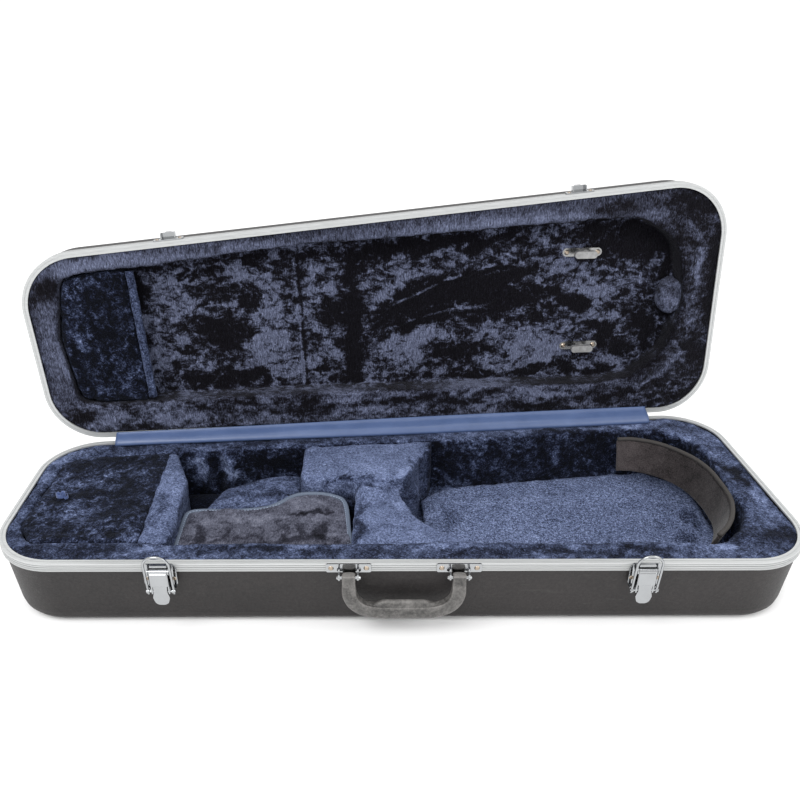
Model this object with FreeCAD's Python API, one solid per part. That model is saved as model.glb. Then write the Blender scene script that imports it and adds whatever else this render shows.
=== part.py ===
import FreeCAD, Part
import math
import os

os.makedirs("parts", exist_ok=True)

# Violin case, millimetres. +Z up, X along the straight front edge, +Y to the hinged back.
# Every piece is drawn from the sharp front-left corner of the parting plane (x, y, z = 0)
# with the lid shut; save() moves it into the final frame and opens the lid.

# ---- driving dimensions -------------------------------------------------------------
LENGTH = 800.0            # front edge and hinge edge
WIDTH_LEFT = 215.5        # narrow end
WIDTH_RIGHT = 292.6       # wide end
CORNER_FRONT = 66.0
CORNER_BACK = 60.0
TRAY_HEIGHT = 80.0        # parting plane above the floor
LID_DEPTH = 46.0
SHELL = 2.6               # moulded wall
VALANCE_FACE = 9.3        # height of the grooved metal face
VALANCE_LIP = 6.0         # width of its flat lip
VALANCE_WALL = 1.7
PARTING_GAP = 0.4
HINGE_OUT = 3.0           # hinge line outboard of the back edge
LID_OPEN = 93.5           # degrees at rest
LATCH_X = (166.8, 622.4)
CATCH_X = (167.0, 622.0)
HANDLE_X = 394.3
HANDLE_WIDTH = 116.5
LEG = 13.0
ORIGIN_X = 392.0          # centre of the flat base
ORIGIN_Y = 127.0
LINER_TOP = -3.5
FLAP_UNDER = -26.0        # underside of the front compartment's flap

V = FreeCAD.Vector
X = V(1, 0, 0)
Y = V(0, 1, 0)
Z = V(0, 0, 1)

TAPER = math.asin((WIDTH_RIGHT - WIDTH_LEFT) / 2.0 / LENGTH)
A = (0.0, 0.0)
B = (LENGTH, 0.0)
C = (LENGTH - WIDTH_RIGHT * math.sin(TAPER), WIDTH_RIGHT * math.cos(TAPER))
D = (-WIDTH_LEFT * math.sin(TAPER), WIDTH_LEFT * math.cos(TAPER))
BACK = math.atan2(C[1] - D[1], C[0] - D[0])
U = V(math.cos(BACK), math.sin(BACK), 0)
N = V(-math.sin(BACK), math.cos(BACK), 0)
AXIS = V(D[0], D[1], 0) + N * HINGE_OUT


# ---- drawing helpers ----------------------------------------------------------------
def inset_corners(d):
    """The case outline's four corners moved in by d."""
    pts = [A, B, C, D]
    lines = []
    for k in range(4):
        p, q = pts[k], pts[(k + 1) % 4]
        length = math.hypot(q[0] - p[0], q[1] - p[1])
        t = ((q[0] - p[0]) / length, (q[1] - p[1]) / length)
        lines.append((p[0] - t[1] * d, p[1] + t[0] * d, t[0], t[1]))
    out = []
    for k in range(4):
        x1, y1, a1, b1 = lines[k - 1]
        x2, y2, a2, b2 = lines[k]
        det = a1 * -b2 + a2 * b1
        s = ((x2 - x1) * -b2 + (y2 - y1) * a2) / det
        out.append((x1 + a1 * s, y1 + b1 * s))
    return out


def rounded(points, radii, z):
    """A closed wire through points with each corner rounded."""
    n = len(points)
    if not isinstance(radii, (list, tuple)):
        radii = [radii] * n
    edges, ends = [], []
    for k in range(n):
        p, a, b = (V(q[0], q[1], z) for q in (points[k], points[k - 1], points[(k + 1) % n]))
        u, w = (a - p).normalize(), (b - p).normalize()
        half = u.getAngle(w) / 2.0
        r = radii[k]
        reach = r / math.tan(half) if r else 0.0
        if reach < 1e-6 or abs(half - math.pi / 2) < 1e-3:
            ends.append((p, p, None))
            continue
        bis = (u + w).normalize()
        ends.append((p + u * reach, p + w * reach, p + bis * (r / math.sin(half) - r)))
    for k in range(n):
        start, stop, mid = ends[k]
        if mid is not None:
            edges.append(Part.Arc(start, mid, stop).toShape())
        nxt = ends[(k + 1) % n][0]
        if (nxt - stop).Length > 1e-6:
            edges.append(Part.makeLine(stop, nxt))
    return Part.Wire(edges)


def prism(points, radii, z0, z1):
    return Part.Face(rounded(points, radii, z0)).extrude(V(0, 0, z1 - z0))


def case_wire(d, z):
    front, back = CORNER_FRONT - d, CORNER_BACK - d
    return rounded(inset_corners(d), [front, front, back, back], z)


def case_block(d, z0, z1):
    return Part.Face(case_wire(d, z0)).extrude(V(0, 0, z1 - z0))


def case_loft(steps):
    """A solid through case outlines given as (inset, z)."""
    return Part.makeLoft([case_wire(d, z) for d, z in steps], True, True)


def ring(d0, d1, z0, z1):
    return case_block(d0, z0, z1).cut(case_block(d1, z0 - 1, z1 + 1))


def box(x0, x1, y0, y1, z0, z1):
    return Part.makeBox(x1 - x0, y1 - y0, z1 - z0, V(x0, y0, z0))


def rod(p, q, r):
    p, q = V(*p), V(*q)
    return Part.makeCylinder(r, (q - p).Length, p, q - p)


def swept(points, r, bend):
    """A round wire along points, bent at each inner corner."""
    edges, last = [], V(*points[0])
    for k in range(1, len(points) - 1):
        p, a, b = V(*points[k]), V(*points[k - 1]), V(*points[k + 1])
        u, w = (a - p).normalize(), (b - p).normalize()
        half = u.getAngle(w) / 2.0
        reach = bend / math.tan(half)
        start, stop = p + u * reach, p + w * reach
        mid = p + (u + w).normalize() * (bend / math.sin(half) - bend)
        if (start - last).Length > 1e-6:
            edges.append(Part.makeLine(last, start))
        edges.append(Part.Arc(start, mid, stop).toShape())
        last = stop
    edges.append(Part.makeLine(last, V(*points[-1])))
    path = Part.Wire(edges)
    first = V(*points[0])
    profile = Part.Wire([Part.makeCircle(r, first, V(*points[1]) - first)])
    return path.makePipeShell([profile], True, False)


def fuse(shapes):
    out = shapes[0].multiFuse(shapes[1:]) if len(shapes) > 1 else shapes[0]
    return out.removeSplitter()


def lid_xy(s, h):
    """Plan position, lid shut, of a point s along the hinge line and h in from it."""
    p = AXIS + U * s - N * h
    return (p.x, p.y)


def at_hinge(shape, s):
    """Place a shape drawn with x along the hinge line and y outward."""
    shape = shape.copy()
    shape.rotate(V(0, 0, 0), Z, math.degrees(BACK))
    shape.translate(V(D[0], D[1], 0) + U * s)
    return shape


def at_lid(shape, s, h):
    """Place a shape drawn about (0, 0), x along the hinge line and y towards it."""
    shape = shape.copy()
    shape.rotate(V(0, 0, 0), Z, math.degrees(BACK))
    x, y = lid_xy(s, h)
    shape.translate(V(x, y, 0))
    return shape


def save(name, shapes, lid=False):
    if not isinstance(shapes, (list, tuple)):
        shapes = [shapes]
    done = []
    for shape in shapes:
        shape = shape.copy()
        if lid:
            shape.rotate(AXIS, U, -LID_OPEN)
        shape.translate(V(-ORIGIN_X, -ORIGIN_Y, TRAY_HEIGHT))
        done.extend(shape.Solids)
    out = done[0] if len(done) == 1 else Part.makeCompound(done)
    out.exportStep("parts/" + name + ".step")


# ---- tray shell and its metal frame --------------------------------------------------
def shell_steps(z_rim, z_far, draft, bend, d0):
    """Insets of a moulded half from its rim to its flat, with a rounded edge."""
    sign = -1.0 if z_far < z_rim else 1.0
    steps = [(d0, z_rim), (d0 + draft, z_far - sign * bend)]
    for deg in (22.5, 45.0, 67.5, 90.0):
        a = math.radians(deg)
        steps.append((d0 + draft + bend * (1 - math.cos(a)), z_far - sign * bend * (1 - math.sin(a))))
    return steps


def half_shell(z_rim, z_far, draft, bend):
    sign = -1.0 if z_far < z_rim else 1.0
    d0 = VALANCE_WALL + 0.15
    outer = case_loft(shell_steps(z_rim, z_far, draft, bend, d0))
    inner = case_loft(shell_steps(z_rim - sign * 1.0, z_far - sign * SHELL, draft, bend - SHELL, d0 + SHELL))
    return outer.cut(inner)


def valance(z_edge, sign):
    """Grooved metal frame; sign is -1 below the parting plane, +1 above it."""
    def span(a, b):
        return (z_edge + min(sign * a, sign * b), z_edge + max(sign * a, sign * b))

    face = ring(0.0, VALANCE_WALL, *span(0, VALANCE_FACE))
    lip = ring(0.0, VALANCE_LIP, *span(0, VALANCE_WALL))
    out = fuse([face, lip])
    for at in (2.6, 4.6, 6.6):
        out = out.cut(ring(-1.0, 0.45, *span(at - 0.35, at + 0.35)))
    return out.cut(ring(2.6, 3.3, *span(-1, 0.4)))


save("tray_shell", half_shell(-1.9, -TRAY_HEIGHT, 5.0, 14.0))
save("tray_valance", valance(0.0, -1.0))
save("lid_shell", half_shell(PARTING_GAP + 1.9, PARTING_GAP + LID_DEPTH, 0.8, 10.0), lid=True)
save("lid_valance", valance(PARTING_GAP, 1.0), lid=True)

# ---- tray lining ---------------------------------------------------------------------
WALL = VALANCE_WALL + SHELL + 0.6
FLOOR = -TRAY_HEIGHT + SHELL + 0.4
CAVITY_FLOOR = -66.0
liner_inner = [
    (12, 62), (30, 34), (345, 34), (481, 35), (709, 34), (738, 57), (755, 89),
    (755, 198), (746, 233), (703, 255), (655, 252), (474, 229), (414, 229),
    (130, 201), (36, 191), (13, 176),
]
liner_radii = [20, 20, 0, 0, 20, 25, 30, 20, 25, 20, 30, 20, 20, 40, 20, 20]
liner_steps = [(WALL + 5.0 + 12.0, FLOOR), (WALL + 5.6, FLOOR + 12.0), (WALL + 1.0, LINER_TOP)]
liner = case_loft(liner_steps).cut(prism(liner_inner, liner_radii, FLOOR + 3.0, 5.0))
save("tray_liner", liner)

# raised neck block: high at the back, lower saddle in front of it
block_high = prism(
    [(283, 213), (283, 147), (404, 147), (413, 160), (414, 196), (436, 214), (468, 226), (414, 226)],
    [4, 8, 8, 10, 14, 20, 0, 0], FLOOR + 3.4, LINER_TOP)
block_low = prism(
    [(345, 147), (345, 36), (478, 37), (446, 49), (428, 62), (421, 76), (418, 128), (406, 147)],
    [0, 4, 0, 30, 14, 20, 20, 0], FLOOR + 3.4, -13.0)
save("neck_block", fuse([block_high, block_low]))

# cushion under the violin body
pad_outline = [
    (424, 78), (431, 65), (449, 52), (481, 40), (706, 38), (733, 60), (750, 90),
    (750, 197), (742, 229), (702, 250), (655, 247), (476, 224), (440, 211), (420, 194),
    (424, 130),
]
save("body_cavity_pad", prism(pad_outline, [8, 8, 20, 20, 20, 20, 30, 20, 20, 20, 20, 20, 14, 8, 8],
                              FLOOR + 3.4, CAVITY_FLOOR))

# wall between the accessory compartment and the scroll well
divider_outline = [(127, 198), (134, 199), (138, 190), (157, 146), (164, 60), (163, 36), (137, 36)]
save("compartment_divider", prism(divider_outline, [2, 2, 6, 10, 10, 3, 3], FLOOR + 3.4, -5.0))

# scroll well: floor pad, raised rest, and the curved wall of the front compartment
S_EDGE = [(235, 112), (257, 124), (278, 138), (300, 144), (323, 145)]


def s_strip(offset, z0, z1, thick, x0, x1):
    """A wall that follows the front flap's curved rear edge."""
    pts = [V(x0, 110 + offset, z0), V(216, 110 + offset, z0), V(238, 114 + offset, z0),
           V(258, 126 + offset, z0), V(280, 139 + offset, z0), V(302, 145 + offset, z0),
           V(x1, 145 + offset, z0)]
    curve = Part.BSplineCurve()
    curve.interpolate(pts)
    back = [p + V(0, -thick, 0) for p in pts]
    curve2 = Part.BSplineCurve()
    curve2.interpolate(list(reversed(back)))
    edges = [curve.toShape(), Part.makeLine(pts[-1], back[-1]), curve2.toShape(),
             Part.makeLine(back[0], pts[0])]
    return Part.Face(Part.Wire(edges)).extrude(V(0, 0, z1 - z0))


save("front_compartment_wall", s_strip(-4.0, FLOOR + 3.4, FLAP_UNDER - 1.0, 8.0, 166.5, 342.5))
rest_outline = [(178, 112), (184, 136), (193, 163), (214, 174), (234, 186), (258, 194), (280, 194),
                (280, 143), (262, 131), (240, 116), (218, 111.5)]
save("scroll_rest", prism(rest_outline, [4, 6, 12, 6, 6, 10, 4, 4, 4, 4, 4], FLOOR + 3.4, -30.0))
save("scroll_well_pad", prism([(141, 197), (162, 147), (172, 126), (181, 166), (212, 182), (252, 200),
                               (281, 202), (281, 213)],
                              [3, 4, 1.5, 10, 6, 6, 2, 2], FLOOR + 3.4, -60.0))

# curved padded strip round the lower bout, and its piping
BOUT = [(660, 238), (681, 238), (709, 227), (734, 202), (746.5, 175), (750, 145), (749, 112),
        (739, 84), (726, 64), (711, 49)]
BOUT_LOW = [(662, 229), (680, 228), (704, 218), (726, 197), (737, 172), (741, 146), (740, 116),
            (731, 92), (718, 73), (703, 59)]


def strip_wire(line, z, offset):
    """A closed wire round a curved line thickened by offset each side."""
    pts = [V(p[0], p[1], z) for p in line]
    sides = [[], []]
    for k, p in enumerate(pts):
        t = (pts[min(k + 1, len(pts) - 1)] - pts[max(k - 1, 0)]).normalize()
        n = V(-t.y, t.x, 0)
        sides[0].append(p + n * offset)
        sides[1].append(p - n * offset)
    a, b = Part.BSplineCurve(), Part.BSplineCurve()
    a.interpolate(sides[0])
    b.interpolate(list(reversed(sides[1])))
    return Part.Wire([a.toShape(), Part.makeLine(sides[0][-1], sides[1][-1]), b.toShape(),
                      Part.makeLine(sides[1][0], sides[0][0])])


strip = Part.makeLoft([strip_wire(BOUT_LOW, -46.0, 2.0), strip_wire(BOUT, -8.4, 2.0)], True, True)
save("bout_strip", strip)
save("bout_strip_piping", Part.Face(strip_wire(BOUT, -8.0, 2.6)).extrude(V(0, 0, 3.4)))

# ---- compartment lids ------------------------------------------------------------------
save("accessory_lid", prism([(15, 62), (33, 38), (134, 37), (125.5, 196.5), (38, 188), (16, 175)],
                            [16, 16, 3, 3, 16, 14], -12.0, -4.8))
tab = box(29, 47, 101, 113, -4.5, -2.3)
save("accessory_lid_tab", tab.makeFillet(1.0, tab.Edges[:4]))

flap_curve = Part.BSplineCurve()
flap_curve.interpolate([V(336, 145.5, FLAP_UNDER), V(318, 146, FLAP_UNDER), V(298, 144, FLAP_UNDER),
                        V(280, 138, FLAP_UNDER), V(258, 126, FLAP_UNDER), V(238, 115.5, FLAP_UNDER),
                        V(216, 112, FLAP_UNDER), V(172, 112, FLAP_UNDER)])
flap_wire = Part.Wire([
    Part.makeLine(V(166.5, 46, FLAP_UNDER), V(342, 46, FLAP_UNDER)),
    Part.makeLine(V(342, 46, FLAP_UNDER), V(342, 139.5, FLAP_UNDER)),
    Part.Arc(V(342, 139.5, FLAP_UNDER), V(340.4, 143.9, FLAP_UNDER), V(336, 145.5, FLAP_UNDER)).toShape(),
    flap_curve.toShape(),
    Part.Arc(V(172, 112, FLAP_UNDER), V(168.1, 110.4, FLAP_UNDER), V(166.5, 106.5, FLAP_UNDER)).toShape(),
    Part.makeLine(V(166.5, 106.5, FLAP_UNDER), V(166.5, 46, FLAP_UNDER)),
])
save("front_flap", Part.Face(flap_wire).extrude(V(0, 0, 6.5)))

# ---- lid lining --------------------------------------------------------------------------
LID_TOP = PARTING_GAP + LID_DEPTH - SHELL - 0.4
LID_BACK = 31.4          # depth of the recess floor
recess = [(33, 193), (60, 200), (296, 226), (588, 246), (684, 250), (735, 222), (753, 150),
          (738, 84), (700, 52), (659, 45), (293, 47), (60, 43), (33, 48), (22, 125)]
recess_r = [16, 12, 0, 0, 40, 50, 60, 50, 30, 20, 0, 10, 12, 0]
lid_steps = [(WALL + 1.0, PARTING_GAP + 3.5), (WALL + 1.8, LID_TOP - 12.0), (WALL + 11.0, LID_TOP)]
lid_block = case_loft(lid_steps)
lid_cut = prism([lid_xy(s, h) for s, h in reversed(recess)], list(reversed(recess_r)), -5.0, LID_BACK)
save("lid_liner", lid_block.cut(lid_cut), lid=True)

pocket = [(36, 190), (60, 197), (103, 202), (111, 48), (60, 46), (36, 52), (26, 125)]
save("bow_tip_pocket", prism([lid_xy(s, h) for s, h in reversed(pocket)], [12, 10, 2, 2, 10, 12, 0][::-1],
                             9.0, 14.0), lid=True)
end_pad = Part.makeCylinder(21.5, 20.0, V(0, 0, LID_BACK - 20.5), Z)
end_pad = end_pad.makeFillet(7.0, [end_pad.Edges[0] if end_pad.Edges[0].BoundBox.ZMax < LID_BACK - 15
                                   else end_pad.Edges[2]])
save("lid_end_pad", at_lid(end_pad, 738, 152).common(lid_cut), lid=True)

# ---- bow holders -------------------------------------------------------------------------
BOWS = (("upper", 628.0, 205.0), ("lower", 635.0, 87.5))
holder_rivets = []
for name, s, h in BOWS:
    z = LID_BACK - 0.2
    plate = prism([(-24, -5), (24, -5), (24, 5), (-24, 5)], 4.9, z - 1.6, z)
    plate = plate.fuse(Part.makeCylinder(5.5, 2.2, V(0, 0, z - 3.8), Z)).removeSplitter()
    for x in (-19.0, 19.0):
        plate = plate.cut(Part.makeCylinder(1.75, 6, V(x, 0, z - 4), Z))
        rivet = Part.makeCylinder(1.7, 1.9, V(x, 0, z - 1.75), Z)
        head = Part.makeCone(1.9, 3.1, 1.2, V(x, 0, z - 2.95), Z)
        holder_rivets.append(at_lid(rivet.fuse(head).removeSplitter(), s, h))
    save("bow_holder_" + name, at_lid(plate, s, h), lid=True)
    hub = Part.makeCylinder(5.2, 9.0, V(0, 0, z - 13.1), Z)
    arm = prism([(-13.5, -4.2), (13.5, -4.2), (13.5, 4.2), (-13.5, 4.2)], 4.1, z - 17.0, z - 11.6)
    paddle = fuse([hub, arm])
    save("bow_paddle_" + name, at_lid(paddle, s, h), lid=True)
save("bow_holder_rivets", holder_rivets, lid=True)

# ---- butt hinges -------------------------------------------------------------------------
HINGES = (118.0, 400.0, 682.0)
PIN_R = 1.2
leaf_rivets, lid_leaf_rivets, hinge_pins = [], [], []
lower, upper = [], []
for s in HINGES:
    def knuckle(x0, x1):
        out = Part.makeCylinder(2.5, x1 - x0, V(x0, HINGE_OUT, 0), X)
        return out

    bore = Part.makeCylinder(PIN_R + 0.05, 60, V(-30, HINGE_OUT, 0), X)
    low = box(-20, 20, 0.15, 1.15, -8.6, -0.6)
    low = fuse([low, knuckle(-20, -7.2), knuckle(7.2, 20)])
    low = low.cut(box(-7.1, 7.1, -1, 7, -3.2, 4)).cut(bore)
    up = box(-20, 20, 0.15, 1.15, PARTING_GAP + 0.6, PARTING_GAP + 8.6)
    up = fuse([up, box(-6.9, 6.9, 0.15, 1.15, -0.5, PARTING_GAP + 1), knuckle(-6.9, 6.9)])
    up = up.cut(box(-30, -7.0, -1, 7, -4, 3.3)).cut(box(7.0, 30, -1, 7, -4, 3.3)).cut(bore)
    for x in (-14.0, 14.0):
        hole = Part.makeCylinder(1.3, 4, V(x, -1.4, 0), Y)
        low = low.cut(hole.translated(V(0, 0, -5.6)))
        up = up.cut(hole.translated(V(0, 0, PARTING_GAP + 6.0)))
        stud = Part.makeCylinder(1.25, 1.0, V(x, 0.15, 0), Y)
        head = Part.makeCone(2.4, 1.6, 0.9, V(x, 1.15, 0), Y)
        rivet = stud.fuse(head).removeSplitter()
        leaf_rivets.append(at_hinge(rivet.translated(V(0, 0, -5.6)), s))
        lid_leaf_rivets.append(at_hinge(rivet.translated(V(0, 0, PARTING_GAP + 6.0)), s))
    lower.append(at_hinge(low, s))
    upper.append(at_hinge(up, s))
    hinge_pins.append(at_hinge(Part.makeCylinder(PIN_R, 40, V(-20, HINGE_OUT, 0), X), s))
for k, label in enumerate(("narrow_end", "middle", "wide_end")):
    save("hinge_lower_leaf_" + label, lower[k])
    save("hinge_upper_leaf_" + label, upper[k], lid=True)
save("hinge_pins", hinge_pins)
save("hinge_rivets_tray", leaf_rivets)
save("hinge_rivets_lid", lid_leaf_rivets, lid=True)

# vinyl strip that covers the hinge line on the inside, bent as it is with the lid open
cover_profile = [(-16.0, -3.3), (-7.2, -2.4), (-6.2, 0.3), (-1.5, 0.4), (0.5, 1.8), (2.4, 4.0),
                 (3.0, 6.0), (3.3, 11.5), (2.1, 11.5), (1.7, 6.2), (1.1, 4.4), (-0.4, 2.9),
                 (-2.0, 1.9), (-6.8, 1.6), (-7.8, -1.2), (-16.0, -2.1)]
cover = Part.Face(Part.makePolygon([V(71, y, z) for y, z in cover_profile + cover_profile[:1]]))
save("hinge_cover", at_hinge(cover.extrude(V(655, 0, 0)), 0))

# ---- latches -----------------------------------------------------------------------------
LEVER_Y, LEVER_Z = -5.0, -5.6
LINK_Y, LINK_Z = -5.2, -28.4
BAR_Y, BAR_Z = -9.2, 14.8
BAIL_HALF = 11.9
BAIL_BEND = 11.6
WIRE = 1.2
latch_rivets, catch_rivets = [], []
for side, x in zip(("left", "right"), LATCH_X):
    # riveted base with a bulged top and two ears for the lever pin
    outline = [(-12, -31), (12, -31), (15.5, -22), (15.5, -5), (12.5, 0.5), (-12.5, 0.5), (-15.5, -5),
               (-15.5, -22)]
    plate = prism(outline, 2.0, 0, 1.2)
    plate.rotate(V(0, 0, 0), X, 90)
    plate = plate.translated(V(0, -0.2, 0))
    boss = prism([(-8.2, -2.0), (8.2, -2.0), (7.4, 0.5), (-7.4, 0.5)], 0.6, 0, 2.8)
    boss.rotate(V(0, 0, 0), X, 90)
    boss = boss.translated(V(0, -1.2, 0))
    ears = []
    for x0 in (-10.1, 8.9):
        lobe = Part.makeCylinder(2.9, 1.2, V(x0, LEVER_Y, LEVER_Z), X)
        ears += [lobe, box(x0, x0 + 1.2, LEVER_Y, -1.2, LEVER_Z - 2.9, LEVER_Z + 2.9)]
    base = fuse([plate, boss] + ears)
    base = base.cut(Part.makeCylinder(1.55, 40, V(-20, LEVER_Y, LEVER_Z), X))
    for rx, rz in ((-12.7, -16.5), (12.7, -16.5), (0.0, -26.5)):
        base = base.cut(Part.makeCylinder(1.3, 6, V(rx, 1, rz), -Y))
        stud = Part.makeCylinder(1.25, 1.2, V(rx, -0.2, rz), -Y)
        head = Part.makeCone(2.2, 1.5, 0.7, V(rx, -1.4, rz), -Y)
        latch_rivets.append(stud.fuse(head).removeSplitter().translated(V(x, 0, 0)))
    save("latch_base_" + side, base.translated(V(x, 0, 0)))
    save("latch_hinge_pin_" + side, Part.makeCylinder(1.5, 20.6, V(x - 10.3, LEVER_Y, LEVER_Z), X))

    # thumb lever: rolled top, square face, crease, neck and round tab
    barrel = Part.makeCylinder(2.6, 16.8, V(-8.4, LEVER_Y, LEVER_Z), X)
    face = prism([(-8.7, -21.2), (8.7, -21.2), (8.7, LEVER_Z), (-8.7, LEVER_Z)], [1.4, 1.4, 1.4, 1.4], 0, 2.2)
    face = face.makeChamfer(0.8, [e for e in face.Edges if e.BoundBox.ZMin > 2.1])
    tail = prism([(-6.9, -19.0), (-6.0, -27.5), (-7.9, -34.5), (-5.6, -43.2), (5.6, -43.2), (7.9, -34.5),
                  (6.0, -27.5), (6.9, -19.0)], [0, 5, 4, 5.5, 5.5, 4, 5, 0], 0, 1.4)
    for s in (face, tail):
        s.rotate(V(0, 0, 0), X, 90)
    face = face.translated(V(0, -6.1, 0))
    tail = tail.translated(V(0, -5.9, 0))
    cheeks = [box(min(e * 7.2, e * 8.6), max(e * 7.2, e * 8.6), -6.6, -3.2, -30.6, -20.0) for e in (-1, 1)]
    lever = fuse([barrel, face, tail] + cheeks)
    lever = lever.cut(Part.makeCylinder(1.55, 40, V(-20, LEVER_Y, LEVER_Z), X))
    lever = lever.cut(Part.makeCylinder(WIRE + 0.05, 40, V(-20, LINK_Y, LINK_Z), X))
    save("latch_lever_" + side, lever.translated(V(x, 0, 0)))
    save("latch_link_pin_" + side, Part.makeCylinder(WIRE, 27.4, V(x - 13.7, LINK_Y, LINK_Z), X))

    # wire bail with an eye at each end
    lean = math.atan2(LINK_Y - BAR_Y, BAR_Z - LINK_Z)
    rise = math.hypot(LINK_Y - BAR_Y, BAR_Z - LINK_Z)
    b = BAIL_HALF
    bail = swept([(-b, 0, -2.9), (-b, 0, rise), (b, 0, rise), (b, 0, -2.9)], WIRE, BAIL_BEND)
    eyes = [Part.makeCylinder(2.1, 2.4, V(e * b - 1.2, 0, 0), X) for e in (-1, 1)]
    bail = fuse([bail] + eyes).cut(Part.makeCylinder(WIRE + 0.05, 40, V(-20, 0, 0), X))
    bail.rotate(V(0, 0, 0), X, math.degrees(lean))
    save("latch_bail_" + side, bail.translated(V(x, LINK_Y, LINK_Z)))
save("latch_rivets", latch_rivets)

# hooked catches on the lid frame
for side, x in zip(("left", "right"), CATCH_X):
    plate = prism([(-16, 1.0), (16, 1.0), (16, 8.0), (13, 10.0), (-13, 10.0), (-16, 8.0)],
                  [2.5, 2.5, 1.5, 2, 2, 1.5], 0, 1.2)
    plate.rotate(V(0, 0, 0), X, 90)
    plate = plate.translated(V(0, -0.2, 0))
    catch = fuse([plate, box(-8, 8, -7.5, -0.2, 8.8, 10.0), box(-8, -6.8, -7.5, -1.0, 4.0, 10.0),
                  box(6.8, 8, -7.5, -1.0, 4.0, 10.0), box(-3.2, 3.2, -7.5, -0.2, 9.5, 13.0),
                  box(-3.2, 3.2, -7.5, -6.4, 12.5, 15.4)])
    for rx in (-12.0, 12.0):
        catch = catch.cut(Part.makeCylinder(1.3, 6, V(rx, 1, 5.0), -Y))
        stud = Part.makeCylinder(1.25, 1.2, V(rx, -0.2, 5.0), -Y)
        head = Part.makeCone(2.2, 1.5, 0.7, V(rx, -1.4, 5.0), -Y)
        catch_rivets.append(stud.fuse(head).removeSplitter().translated(V(x, 0, 0)))
    save("lid_catch_" + side, catch.translated(V(x, 0, 0)), lid=True)
save("catch_rivets", catch_rivets, lid=True)

# ---- handle ------------------------------------------------------------------------------
PIVOT_Y, PIVOT_Z = -7.2, -11.0
bracket_rivets, handle_pins = [], []
legs = (HANDLE_X - HANDLE_WIDTH / 2 + LEG / 2, HANDLE_X + HANDLE_WIDTH / 2 - LEG / 2)
for side, x in zip(("left", "right"), legs):
    plate = prism([(-21, -9.4), (21, -9.4), (21, 0.3), (-21, 0.3)], 1.6, 0, 1.2)
    plate.rotate(V(0, 0, 0), X, 90)
    plate = plate.translated(V(0, -0.2, 0))
    ears = []
    for e in (-1, 1):
        x0, x1 = min(e * 8.0, e * 9.5), max(e * 8.0, e * 9.5)
        lug = box(x0, x1, -7.2, -0.8, -9.4, -1.2)
        lobe = Part.makeCylinder(2.9, 1.5, V(x0, PIVOT_Y, PIVOT_Z), X)
        neck = box(x0, x1, PIVOT_Y - 2.4, PIVOT_Y + 2.4, PIVOT_Z, -6.0)
        ears += [lug, lobe, neck]
    bracket = fuse([plate] + ears)
    bracket = bracket.cut(Part.makeCylinder(1.55, 40, V(-20, PIVOT_Y, PIVOT_Z), X))
    for rx in (-16.5, 16.5):
        bracket = bracket.cut(Part.makeCylinder(1.5, 6, V(rx, 1, -4.6), -Y))
        stud = Part.makeCylinder(1.45, 1.2, V(rx, -0.2, -4.6), -Y)
        head = Part.makeCone(2.6, 1.7, 0.9, V(rx, -1.4, -4.6), -Y)
        bracket_rivets.append(stud.fuse(head).removeSplitter().translated(V(x, 0, 0)))
    save("handle_bracket_" + side, bracket.translated(V(x, 0, 0)))
    pin = Part.makeCylinder(1.5, 19.6, V(x - 9.8, PIVOT_Y, PIVOT_Z), X)
    heads = [Part.makeCone(2.2, 1.4, 1.7, V(x + e * 9.6, PIVOT_Y, PIVOT_Z), X * e) for e in (-1, 1)]
    handle_pins.append(fuse([pin] + heads))
save("handle_bracket_rivets", bracket_rivets)
save("handle_pins", handle_pins)

half = HANDLE_WIDTH / 2
outer = prism([(-half, PIVOT_Z), (-half, -55.5), (half, -55.5), (half, PIVOT_Z)], [0, 31, 31, 0], -15.0, -4.2)
inner = prism([(-half + LEG, -3), (-half + LEG, -41.0), (half - LEG, -41.0), (half - LEG, -3)],
              [0, 19, 19, 0], -20.0, 0.0)
swell = prism([(-33, -44), (33, -44), (24, -36.0), (-24, -36.0)], [0, 0, 9, 9], -13.0, -4.8)
grip = fuse([outer.cut(inner), swell])
grip.rotate(V(0, 0, 0), X, 90)
grip = grip.mirror(V(0, 0, 0), Y)
eyes = [Part.makeCylinder(5.2, LEG - 0.4, V(e * (half - LEG / 2) - LEG / 2 + 0.2, PIVOT_Y, PIVOT_Z), X)
        for e in (-1, 1)]
grip = fuse([grip] + eyes)
for e in (-1, 1):
    cx = e * (half - LEG / 2)
    grip = grip.cut(box(cx - 9, cx + 9, -20, PIVOT_Y - 5.2, PIVOT_Z - 3.0, 0))
grip = grip.cut(Part.makeCylinder(1.55, 140, V(-70, PIVOT_Y, PIVOT_Z), X))
save("handle_grip", grip.translated(V(HANDLE_X, 0, 0)))
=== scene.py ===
import math

import bpy
import bmesh
import numpy as np
from mathutils import Matrix, Vector


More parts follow.
